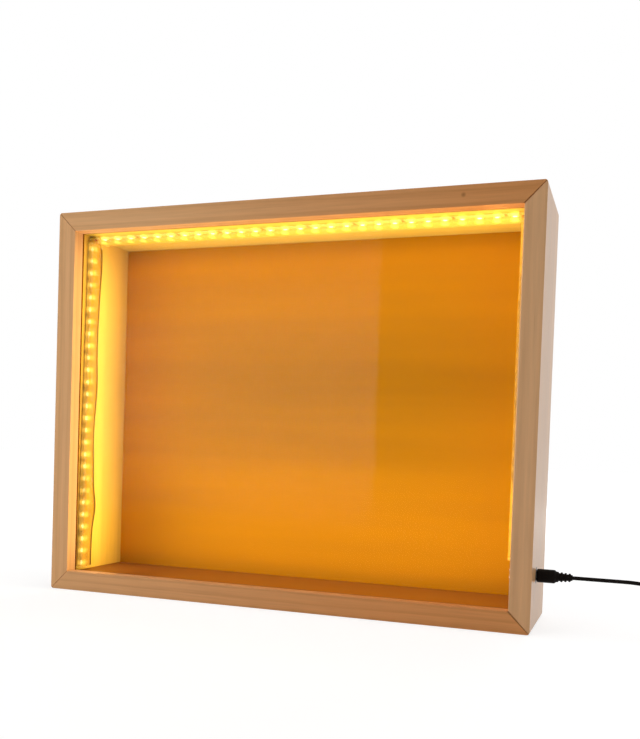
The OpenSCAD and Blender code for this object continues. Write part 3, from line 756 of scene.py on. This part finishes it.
class SHADOWBOX_OT_boards(bpy.types.Operator):
    """Model the four mitred pine boards with eased edges and dark mitre lines"""

    bl_idname = "shadowbox.boards"
    bl_label = "Frame boards"

    def execute(self, context):
        look = context.scene.shadow_box_wood
        joint = mottled("Glue line", look.joint, 0.6, {"Roughness": 0.8}, 0.4)
        front, back = (corner.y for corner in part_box("top_rail"))
        for node, (along, pith, deepens, roughness, sheen) in BOARDS.items():
            side = node.split("_")[0]
            pine = wood(
                "Waxed pine, " + node, along, pith, look.early, look.late, look.ring_gap, roughness, sheen,
                (look.painted_rail_shade, *deepens) if deepens else None, KNOT_AT if side == "top" else None,
            )
            board = copy_of(node, "pine_" + node, pine, joint)
            edit(board)
            for end, depth, width in (
                (-1, front, look.tight_mitre), (1, front, look.open_mitre),
                (-1, back, look.tight_mitre), (1, back, look.tight_mitre),
            ):
                at_end = lambda edge: on_mitre(edge, depth) and edge.verts[0].co.x * end > 0
                bevel(board, at_end, width, 1, material=1)
            inner = lambda edge: runs_along(edge, along) and looks_in(edge, side, front)
            bevel(board, inner, look.inner_edge, 4, clamp_overlap=True)
            outer = lambda edge: runs_along(edge, along) and is_sharp(edge)
            bevel(board, outer, look.edge, 3, clamp_overlap=True)
            leave_edit()
            dress(board, "pine", node)
        return {"FINISHED"}


class SHADOWBOX_OT_pane(bpy.types.Operator):
    """Model the clear pane behind the lip"""

    bl_idname = "shadowbox.pane"
    bl_label = "Front pane"

    def execute(self, context):
        # Low-reflection float glass: a faint mirror that grows towards a grazing view
        glass, tree, shader = new_material("Clear glass", {
            "Base Color": grey(1), "Metallic": 1.0, "Roughness": 0.02})
        set_inputs(tree, shader, {"Alpha": add_node(tree, "Fresnel", {"IOR": 1.09})})
        eased_copy("front_pane", 0.3, "clear_pane", glass)
        return {"FINISHED"}


class SHADOWBOX_OT_liners(bpy.types.Operator):
    """Model the pale liners: painted light on the upper one, painted shade on the lower one and along the
    pane
    """

    bl_idname = "shadowbox.liners"
    bl_label = "Spacer boards"

    def execute(self, context):
        look = context.scene.shadow_box_wood
        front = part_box("spacer_top")[0].y
        # Painted shade along the liners' edge at the pane, wider over the pane's top
        pane_edge_shade = mottled("Brown painted shade", look.pane_edge_shade, 1.5, {"Roughness": 0.6, "Specular IOR Level": 0.1}, 0.2)
        # The upper liner carries painted light and the lower one painted shade
        for side, along, pale, line in (
            ("top", X, look.top_liner_painted_light, look.top_pane_edge_shade), ("bottom", X, look.floor_liner_painted_shade, look.pane_edge_shade_width),
            ("left", Z, look.liner, look.pane_edge_shade_width), ("right", Z, look.liner, look.pane_edge_shade_width),
        ):
            node = "spacer_" + side
            dark = times(pale, 0.9)
            pine = wood("Planed pale pine, " + side, along, (60, 90, 60), pale, dark, 7 * MM, 0.42)
            board = copy_of(node, "eased_" + node, pine, pane_edge_shade)
            edit(board)
            at_pane = lambda edge: runs_along(edge, along) and looks_in(edge, side, front)
            bevel(board, at_pane, line, 1, clamp_overlap=True, material=1)
            leave_edit()
            ease(board, 0.3)
            dress(board, "spacer_wood", node)
        return {"FINISHED"}


def panel_face(tone):
    """The panel's warm face on a smooth board: faint level streaks, and painted shade that darkens its head
    and foot.
    """
    made, tree, shader = new_material("Stained board", {"Roughness": 0.7, "Specular IOR Level": 0.03})
    place = add_node(tree, "TexCoord").outputs["Object"]
    space = add_node(tree, "Mapping", {"Vector": place, "Scale": stretched(X, 0.06)})
    streaks = add_node(tree, "TexNoise", {
        "Vector": space, "Scale": 1 / (22 * MM), "Detail": 5, "Roughness": 0.6})
    base = add_node(tree, "ValToRGB", {"Fac": streaks}, [(0.3, times(tone, 0.86)), (0.7, times(tone, 1.08))])
    # Painted shade along the liners, matched to the photograph, where the panel is darker there
    height = add_node(tree, "SeparateXYZ", (place,)).outputs[Z]
    for liner, corner, fade in (("spacer_bottom", 1, 15 * MM), ("spacer_top", 0, -15 * MM)):
        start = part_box(liner)[corner].z
        painted_shade = add_node(tree, "MapRange", (
            height, start, start + fade, 0.74, 1), interpolation_type="SMOOTHSTEP")
        base = add_node(tree, "Mix", {FACTOR: 1.0, FIRST: base, SECOND: painted_shade}, **MULTIPLY).outputs[RESULT]
    set_inputs(tree, shader, {"Base Color": base})
    return made


def panel_back(tone):
    """Bare fibreboard: pressed brown fibres with the print of a fine screen."""
    made, tree, shader = new_material("Bare fibreboard", {"Roughness": 0.85, "Specular IOR Level": 0.2})
    place = add_node(tree, "TexCoord").outputs["Object"]
    fibres = add_node(tree, "TexNoise", {
        "Vector": place, "Scale": 1 / (2.5 * MM), "Detail": 6, "Roughness": 0.7})
    base = add_node(tree, "ValToRGB", {"Fac": fibres}, [(0.32, times(tone, 0.72)), (0.7, times(tone, 1.22))])
    # The screen's wires lie 2 mm apart, drawn coarser than real ones so that they show
    height = fibres
    for axis in ("X", "Z"):
        wires = add_node(tree, "TexWave", {"Vector": place, "Scale": WAVE / (2 * MM)}, bands_direction=axis)
        height = add_node(tree, "Math", (height, wires.outputs["Fac"]), operation="ADD")
    relief = add_node(tree, "Bump", {"Height": height, "Strength": 0.35, "Distance": 0.15 * MM})
    set_inputs(tree, shader, {"Base Color": base, "Normal": relief})
    return made


class SHADOWBOX_OT_back_panel(bpy.types.Operator):
    """Model the back panel with its warm face and its bare back"""

    bl_idname = "shadowbox.back_panel"
    bl_label = "Back panel"

    def execute(self, context):
        look = context.scene.shadow_box_wood
        panel = copy_of("back_panel", "eased_back_panel", panel_face(look.panel), panel_back(look.panel_back))
        for face in panel.data.polygons:
            face.material_index = 0 if face.normal.y < -0.5 else 1
        ease(panel, 0.3)
        dress(panel, "panel_board", "back_panel")
        return {"FINISHED"}


# Light strips


class Row:
    """One row of lamps: the places of its lamps on their strip, and its directions."""

    def __init__(self, side, out, first, last):
        count = LAMP_COUNTS[side]
        self.side = side
        self.out = Vector(out)
        self.first = first
        self.last = last
        self.run = (last - first).normalized()
        self.across = Vector((0, 1, 0)) - self.run * self.run.y
        self.across.normalize()
        self.places = [first.lerp(last, i / (count - 1)) for i in range(count)]

    def frame_at(self, place):
        """The matrix that sets a model down: X along the strip, Y across it and Z out of the wall."""
        matrix = Matrix((self.run, self.across, self.out)).transposed().to_4x4()
        matrix.translation = place
        return matrix


def lamp_rows():
    """The three rows, from the boxes of their lamps and the number of lamps in each."""
    half_l = LAMP_L / 2 * MM
    half_w = LAMP_W / 2 * MM
    low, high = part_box("lamps_on_top")
    y = (low.y + high.y) / 2
    top = Row("top", (0, 0, -1), Vector((low.x + half_l, y, high.z)), Vector((high.x - half_l, y, high.z)))
    low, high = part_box("lamps_on_left")
    upper = Vector((low.x, high.y - half_w, high.z - half_l))
    left = Row("left", (1, 0, 0), upper, Vector((low.x, low.y + half_w, low.z + half_l)))
    low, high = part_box("lamps_on_right")
    y = (low.y + high.y) / 2
    upper = Vector((high.x, y, high.z - half_l))
    right = Row("right", (-1, 0, 0), upper, Vector((high.x, y, low.z + half_l)))
    return top, left, right


def lamp_model(package, lens):
    """One lamp: a small white package with bevelled edges and a round lens in its face."""
    body = block(LAMP_L, LAMP_W, LAMP_T)
    body.data.transform(Matrix.Translation((0, 0, LAMP_T / 2 * MM)))
    coat(body, 0, package, lens)
    edit(body)
    select(body, "FACE", lambda face: face.normal.z > 0.9)
    bpy.ops.mesh.inset(thickness=0.25 * MM, depth=-0.05 * MM)
    leave_edit()
    ease(body, 0.1, 1)
    dome = started(
        bpy.ops.mesh.primitive_cylinder_add, vertices=14, radius=LENS_D / 2 * MM, depth=2 * LENS_T * MM,
        location=(0, 0, LAMP_T * MM),
    )
    edit(dome)
    select(dome, "FACE", lambda face: face.normal.z > 0.9)
    bpy.ops.mesh.inset(thickness=0.35 * MM)
    bpy.ops.transform.translate(value=(0, 0, 0.08 * MM))
    leave_edit()
    bpy.ops.object.transform_apply(location=True)
    coat(dome, 1, package, lens)
    return joined("lamp_model", [body, dome])


def glowing(name, tone, base, strength):
    """A lit plastic face: its own colour and an even light."""
    return new_material(name, {
        "Base Color": base, "Roughness": 0.35, "Emission Color": tone, "Emission Strength": strength})[0]


def strip_light(name, row, power, tone, off, width, depth=None, facing=-1):
    """A lamp as long as a row that stands in for some of its light.

    How far it hangs off the row's wall, its width and its depth in the box are in millimetres.
    """
    place = (row.first + row.last) / 2 + row.out * off * MM
    if depth is not None:
        place.y = depth * MM
    span = (row.last - row.first).length
    size = (span, width * MM) if row.side == "top" else (width * MM, span)
    return soft_light(f"{name}_{row.side}", place, place + facing * row.out, *size, power, tone[:3])


# Shares of the light that the strips shed on their walls and on the lip, matched to the photograph
WALL_SHARES = {"top": 0.8, "left": 1.15, "right": 0.4}
LIP_SHARES = {"top": 0.45, "left": 1, "right": 1}
# A beam this narrow leaves no hard edge on the boards beside a wall
WALL_BEAM = math.radians(110)


class SHADOWBOX_OT_lamps(bpy.types.Operator):
    """Set the lamps on their strips, and the light that the strips shed into the box"""

    bl_idname = "shadowbox.lamps"
    bl_label = "Lamps"

    def execute(self, context):
        look = context.scene.shadow_box_lamps
        package = glowing("Lit lamp package", look.glow, linear("#EFE4C8"), look.package)
        lens = glowing("Phosphor lens", look.lens_glow, linear("#F4D766"), look.lens)
        model = lamp_model(package, lens)
        for row in lamp_rows():
            lamps = [placed(model, row.frame_at(place)) for place in row.places]
            dress(joined("lit_lamps_" + row.side, lamps), "lamp", "lamps_on_" + row.side)
        bpy.data.objects.remove(model)
        for row in lamp_rows():
            power = look.top_glow if row.side == "top" else look.side_glow
            strip_light("glow", row, power, look.glow, off=SLEEVE_T, width=8, facing=1)
            # Light that spreads in the sleeve and falls back on the wall behind it
            power = look.wall_glow * WALL_SHARES[row.side]
            wall = strip_light("wall_glow", row, power, look.glow, off=30, width=40, depth=-10)
            wall.data.spread = WALL_BEAM
            if row.side == "left":
                # Lower, because the photograph's left wall is bright down to its foot
                wall.location.z -= 6 * MM
            # Light that the pane carries to the lip in front of it
            power = look.lip_glow * LIP_SHARES[row.side]
            strip_light("lip_glow", row, power, look.lip_tone, off=22, width=7, depth=-27.5)
        # Light that goes round between the walls and falls on the panel, most of it low down
        low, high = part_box("front_pane")
        for name, z, tall, share in (
            ("low", low.z + 38 * MM, 60 * MM, 1), ("high", high.z - 22 * MM, 30 * MM, 0.3),
        ):
            place = Vector((24 * MM, high.y + 3 * MM, z))
            ahead = place + Vector((0, 1, 0))
            power = share * look.round_glow
            soft_light("round_glow_" + name, place, ahead, 220 * MM, tall, power, look.glow[:3])
        return {"FINISHED"}


# Two pads and a resistor between lamps, in millimetres: place across the strip, size and number of the finish
STRIP_BITS = ((-1.9, (1.4, 1.5, 0.08), 1), (1.9, (1.4, 1.5, 0.08), 1), (0, (1.6, 0.8, 0.45), 2))


class SHADOWBOX_OT_strips(bpy.types.Operator):
    """Model the flexible boards with their copper pads and resistors"""

    bl_idname = "shadowbox.strips"
    bl_label = "Flexible boards"

    def execute(self, context):
        look = context.scene.shadow_box_lamps
        # The board's emission is painted light from the lamps beside it
        finishes = (
            mottled("White flexible board", linear("#E9DFC4"), 1.2, {
                "Roughness": 0.45, "Emission Color": look.glow, "Emission Strength": look.board}),
            mottled("Tinned copper pads", linear("#C9A46A"), 0.8, {"Metallic": 1.0, "Roughness": 0.3}),
            mottled("Black resistor", linear("#22201E"), 0.4, {"Roughness": 0.35}),
        )
        for row in lamp_rows():
            parts = [copy_of("strip_" + row.side, "flex_" + row.side, *finishes)]
            for index in range(2, len(row.places) - 1, 3):
                middle = (row.places[index] + row.places[index + 1]) / 2
                for offset, size, finish in STRIP_BITS:
                    part = block(*size)
                    coat(part, finish, *finishes)
                    ease(part, 0.06, 1)
                    part.data.transform(Matrix.Translation((0, offset * MM, size[2] / 2 * MM)))
                    part.data.transform(row.frame_at(middle))
                    parts.append(part)
            dress(joined("flex_" + row.side, parts), "flex_board", "strip_" + row.side)
        return {"FINISHED"}


def lit_silicone(row, look, clear, rim, between, at_lamp, swell):
    """Clear soft silicone with painted lamp light round each lamp and painted shade in its creases and edges.
    """
    made, tree, shader = new_material("Clear silicone, " + row.side, {
        "Roughness": 0.28, "Specular IOR Level": 0.2, "Emission Color": look.glow})
    place = add_node(tree, "TexCoord").outputs["Object"]
    axis = X if row.side == "top" else Z
    # Painted shade in creases about five millimetres apart, drawn out along the sleeve
    space = add_node(tree, "Mapping", {"Vector": place, "Scale": stretched(axis, 0.35)})
    creases = add_node(tree, "TexNoise", {"Vector": space, "Scale": 1 / (5 * MM), "Detail": 3})
    crease_shade = add_node(tree, "MapRange", (creases, 0.45, 0.75, 0, 0.5 * rim))
    # Painted shade along the sleeve's edges and round its point, joined with the painted shade in its creases
    edge_shade = add_node(tree, "Attribute", attribute_name="edge_shade").outputs["Fac"]
    brown = add_node(tree, "Math", (edge_shade, rim), operation="MULTIPLY")
    shade = add_node(tree, "Math", (brown, crease_shade), operation="MAXIMUM")
    tint = add_node(tree, "Mix", {
        FACTOR: shade, FIRST: look.silicone, SECOND: look.silicone_rim_shade}, data_type="RGBA")
    cover = add_node(tree, "MapRange", (shade, 0, 1, clear, 0.95))
    # Painted light: a sine along the row with a crest at every lamp
    pitch = abs(row.places[1][axis] - row.places[0][axis])
    crests = add_node(tree, "TexWave", {
        "Vector": place, "Scale": WAVE / pitch, "Phase Offset": math.pi - math.tau * row.first[axis] / pitch,
    }, bands_direction=AXES[axis])
    near = add_node(tree, "Attribute", attribute_name="over_lamps")
    spots = add_node(tree, "Math", (crests.outputs["Fac"], near.outputs["Fac"]), operation="MULTIPLY")
    light = add_node(tree, "MapRange", (spots, 0.35, 0.9, between, at_lamp))
    unshaded = add_node(tree, "Math", (1.0, shade), operation="SUBTRACT")
    way = add_node(tree, "SeparateXYZ", (place,)).outputs[axis]
    grown = add_node(tree, "MapRange", (way, row.first[axis], row.last[axis], 1, 1 + swell))
    for factor in (unshaded, grown):
        light = add_node(tree, "Math", (light, factor), operation="MULTIPLY")
    set_inputs(tree, shader, {
        "Base Color": tint.outputs[RESULT], "Alpha": cover, "Emission Strength": light})
    return made


# How each sleeve lies: bulges (size in millimetres, share of the length, breadth as a share), how far it runs
# on over the wires at its two ends and the length of its pointed end, in millimetres, and its look: cover
# where it is clear, strength of the painted shade on its edges and creases, painted glow between lamps,
# painted glow at a lamp and how much that grows along the row
SLEEVES = {
    "top": (
        ((0.3, 0.2, 0.05), (0.4, 0.55, 0.06), (-0.4, 0.72, 0.05)),
        (3.5, 3.5), 0, (0.3, 0, 0.4, 1.7, 0.9),
    ),
    "left": (
        ((0.8, 0.08, 0.06), (-0.8, 0.3, 0.09), (0.5, 0.45, 0.05), (-1.2, 0.6, 0.08), (2.4, 0.82, 0.05)),
        (5, 0), 7.5, (0.58, 1.0, 0.14, 0.8, 0),
    ),
    "right": (((0.5, 0.3, 0.06), (-0.5, 0.6, 0.06)), (2.5, 0), 0, (0.4, 0.3, 0.1, 0.3, 0)),
}
# Lower powers of the sine make a sleeve's section squarer
SECTION_POWER = 0.6
# How far the lamps' light spreads to either side of their line, in millimetres
LIGHT_REACH = 3.5


def sleeve(row, start, end, bulges, point, material):
    """A limp clear sleeve round a strip: a flat tube with uneven sides and, where asked, a pointed end."""
    tube = started(bpy.ops.mesh.primitive_cylinder_add, vertices=24, radius=1, depth=1, end_fill_type="NGON")
    edit(tube)
    select(tube, "EDGE", lambda edge: abs(edge.verts[0].co.z - edge.verts[1].co.z) > 0.5)
    bpy.ops.mesh.subdivide(number_cuts=110)
    leave_edit()
    span = (end - start).length
    for name in ("edge_shade", "over_lamps"):
        tube.data.attributes.new(name, "FLOAT", "POINT")
    edge_shade = tube.data.attributes["edge_shade"].data
    over_lamps = tube.data.attributes["over_lamps"].data
    for vert in tube.data.vertices:
        share = vert.co.z + 0.5
        turn = math.atan2(vert.co.y, vert.co.x)
        round_section = (math.sin(turn), math.cos(turn))
        far, up = (math.copysign(abs(part) ** SECTION_POWER, part) for part in round_section)
        narrow = 1.0
        if point:
            narrow = math.sqrt(1 - (1 - min(1.0, share * span / (point * MM))) ** 2)
        # Painted shade shows as a line along the back edge, at the foot of the front edge and round the point
        line = max(0.0, far - 0.52) * 4 if far > 0 else max(0.0, -0.82 - up) * 5
        edge_shade[vert.index].value = min(1.0, max(line, (1 - narrow) * 1.3))
        bulge = sum(size * math.exp(-(((share - where) / breadth) ** 2)) for size, where, breadth in bulges)
        back = (SLEEVE_W - ROW_INSET - 0.6 + bulge) * max(0.12, narrow)
        front = (ROW_INSET - 0.4) * max(0.2, narrow)
        side = back * far if far > 0 else front * far
        over_lamps[vert.index].value = math.exp(-((side / LIGHT_REACH) ** 2))
        height = SLEEVE_T * (0.5 + 0.5 * up) * (0.35 + 0.65 * narrow) * (1 + 0.05 * bulge) + 0.06
        vert.co = start + row.run * share * span + row.across * side * MM + row.out * height * MM
    tube.data.materials.append(material)
    edit(tube)
    bpy.ops.mesh.normals_make_consistent(inside=False)
    leave_edit()
    apply(tube, "SOLIDIFY", thickness=0.5 * MM, offset=-1)
    return tube


class SHADOWBOX_OT_sleeves(bpy.types.Operator):
    """Draw the soft clear sleeves over the strips"""

    bl_idname = "shadowbox.sleeves"
    bl_label = "Silicone sleeves"

    def execute(self, context):
        look = context.scene.shadow_box_lamps
        for row in lamp_rows():
            bulges, (over_first, over_last), point, shine = SLEEVES[row.side]
            # The sleeve's back rests on the wall, one millimetre under the lamps
            wall = row.first - row.out * MM
            ahead = row.run * (LAMP_L / 2 + 0.6) * MM
            start = wall - ahead - row.run * over_first * MM
            end = wall + row.last - row.first + ahead + row.run * over_last * MM
            tube = sleeve(row, start, end, bulges, point, lit_silicone(row, look, *shine))
            tube.name = "silicone_" + row.side
            dress(tube, "clear_silicone", "sleeve_" + row.side)
        # Milky silicone of the end plugs, lit by the last lamps
        caps = mottled("Milky silicone", look.silicone, 0.8, {
            "Roughness": 0.4, "Alpha": 0.4, "Emission Color": look.glow, "Emission Strength": 0.4})
        eased_copy("sleeve_plugs", 0.3, "clear_silicone", caps)
        return {"FINISHED"}


def curve(corners, steps):
    """Points along a cubic curve that leaves and meets its ends along the lines to its two middle corners."""
    points = []
    for step in range(steps + 1):
        t = step / steps
        weights = ((1 - t) ** 3, 3 * (1 - t) ** 2 * t, 3 * (1 - t) * t * t, t ** 3)
        points.append(sum((c * w for c, w in zip(corners, weights)), Vector()))
    return points


class SHADOWBOX_OT_wires(bpy.types.Operator):
    """Lead the thin wires between the strips and down to the socket"""

    bl_idname = "shadowbox.wires"
    bl_label = "Wires"

    def execute(self, context):
        for tint, tone in (("red", "#A3160E"), ("black", "#191614")):
            sheath = mottled(f"{tint.title()} wire sheath", linear(tone), 0.5, {"Roughness": 0.35})
            ways = [self.corner(tint, side) for side in (-1, 1)]
            bends = [round_tube("corner_" + tint, way, WIRE_D, sheath) for way in ways]
            feed = round_tube("feed_" + tint, self.feed(tint), WIRE_D, sheath)
            pick(feed, *bends)
            bpy.ops.object.convert(target="MESH")
            dress(joined("jumpers_" + tint, bends), "wire_" + tint, "jumper_wires_" + tint)
            dress(feed, "wire_" + tint, "feed_wire_" + tint)
        return {"FINISHED"}

    def corner(self, tint, side):
        """The way of a wire from the top strip to a side strip."""
        low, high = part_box("jumper_wires_" + tint)
        half = WIRE_D / 2 * MM
        start = Vector((side * (high.x - half - JUMPER_R * MM), high.y - half, high.z - half))
        end = Vector((side * (high.x - half), low.y + half, low.z))
        leave = Vector((side * half, 0, 0))
        arrive = Vector((0, 0, half))
        reach = JUMPER_R / WIRE_D
        bend = curve((start + leave, start + leave * reach, end + arrive * reach, end + arrive), 10)
        return [start, *bend, end]

    def feed(self, tint):
        """The way of a wire from the lower end of the right strip to a tag of the socket."""
        rise = 1 if tint == "black" else -1
        low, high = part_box("socket_tags")
        end = Vector(((low.x + high.x) / 2, (low.y + high.y) / 2, high.z if rise > 0 else low.z))
        axis_z = end.z - rise * TAG_OFF * MM
        low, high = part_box("sleeve_right")
        y = lamp_rows()[2].first.y + rise * WIRE_PITCH / 2 * MM
        start = Vector((high.x - SLEEVE_T / 2 * MM, y, low.z - CAP_L * MM))
        square_end = end + Vector((0, 0, rise * WIRE_D * MM))
        leave = Vector((0, 0, -WIRE_PITCH * MM if rise > 0 else -axis_z / 2))
        arrive = Vector((0, -WIRE_D * MM, WIRE_PITCH * MM if rise > 0 else -axis_z / 4))
        return [*curve((start, start + leave, square_end + arrive, square_end), 16), end]


# Fittings


def cross_slot(piece, places, width, depth):
    """Cut a cross recess, its width and depth in millimetres, into the heads of screws."""
    askew = 0.35
    for place in places:
        for turn in (askew, askew + math.pi / 2):
            cutter = block(width, 2 * depth, 0.22 * width)
            cutter.data.transform(Matrix.Rotation(turn, 4, "Y"))
            cutter.data.transform(Matrix.Translation(place))
            apply(piece, "BOOLEAN", operation="DIFFERENCE", object=cutter, solver="EXACT")
            bpy.data.objects.remove(cutter)


class SHADOWBOX_OT_socket(bpy.types.Operator):
    """Model the power socket in the right wall"""

    bl_idname = "shadowbox.socket"
    bl_label = "Socket"

    def execute(self, context):
        eased_copy("socket_body", 0.2, "black_plastic", black_plastic())
        eased_copy("socket_nut", 0.3, "steel", zinc_steel())
        eased_copy("socket_pin", 0.2, "plated_metal", nickel())
        eased_copy("socket_tags", 0.1, "plated_metal", nickel())
        return {"FINISHED"}


class SHADOWBOX_OT_back_fittings(bpy.types.Operator):
    """Model the hanger, the turn buttons, their screws and the V nails"""

    bl_idname = "shadowbox.back_fittings"
    bl_label = "Back fittings"

    def execute(self, context):
        steel = zinc_steel()
        eased_copy("hanger_strap", 0.15, "steel", steel)
        eased_copy("hanger_ring", 0.1, "steel", steel, "hanger_ring")
        for button in "abcd":
            eased_copy("turn_button_" + button, 0.25, "steel", steel, "turn_button_" + button)
        eased_copy("v_nails", 0.1, "steel", steel)
        for node, head_d in (("hanger_screws", 3.6), ("turn_screws", 4.4)):
            screws = copy_of(node, "eased_" + node, steel)
            ease(screws, 0.2)
            low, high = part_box(node)
            half = head_d / 2 * MM
            rows_z = (low.z + half, high.z - half)
            rows_x = (low.x + half, high.x - half)
            if high.x - low.x < 2 * head_d * MM:
                rows_x = ((low.x + high.x) / 2,)
            heads = [Vector((x, high.y, z)) for x in rows_x for z in rows_z]
            cross_slot(screws, heads, 0.62 * head_d, 0.5)
            dress(screws, "steel", node)
        return {"FINISHED"}


# Add-on


STEPS = (
    SHADOWBOX_OT_stage, SHADOWBOX_OT_plug, SHADOWBOX_OT_supply_plug, SHADOWBOX_OT_lead, SHADOWBOX_OT_boards,
    SHADOWBOX_OT_pane, SHADOWBOX_OT_liners, SHADOWBOX_OT_back_panel, SHADOWBOX_OT_lamps, SHADOWBOX_OT_strips,
    SHADOWBOX_OT_sleeves, SHADOWBOX_OT_wires, SHADOWBOX_OT_socket, SHADOWBOX_OT_back_fittings,
)
SETTINGS = {
    "shadow_box_stage": StageSettings,
    "shadow_box_wood": WoodSettings,
    "shadow_box_lamps": LampSettings,
    "shadow_box_lead": LeadSettings,
}


class SHADOWBOX_PT_panel(bpy.types.Panel):
    """Lists the steps that dress the shadow box"""

    bl_label = "LED shadow box"
    bl_idname = "SHADOWBOX_PT_panel"
    bl_space_type = "VIEW_3D"
    bl_region_type = "UI"
    bl_category = "Shadow Box"

    def draw(self, context):
        for step in STEPS:
            self.layout.operator(step.bl_idname)
        for name, group in SETTINGS.items():
            box = self.layout.box()
            for setting in group.__annotations__:
                box.prop(getattr(context.scene, name), setting)


def register():
    """Register the settings, the steps and the panel."""
    for name, group in SETTINGS.items():
        bpy.utils.register_class(group)
        setattr(bpy.types.Scene, name, bpy.props.PointerProperty(type=group))
    for each in (*STEPS, SHADOWBOX_PT_panel):
        bpy.utils.register_class(each)


def unregister():
    """Take the panel, the steps and the settings out again."""
    for each in (SHADOWBOX_PT_panel, *reversed(STEPS)):
        bpy.utils.unregister_class(each)
    for name, group in SETTINGS.items():
        delattr(bpy.types.Scene, name)
        bpy.utils.unregister_class(group)


def main():
    """Dress the box step by step."""
    register()
    for step in STEPS:
        getattr(bpy.ops.shadowbox, step.bl_idname.split(".")[1])()


if __name__ == "__main__":
    main()
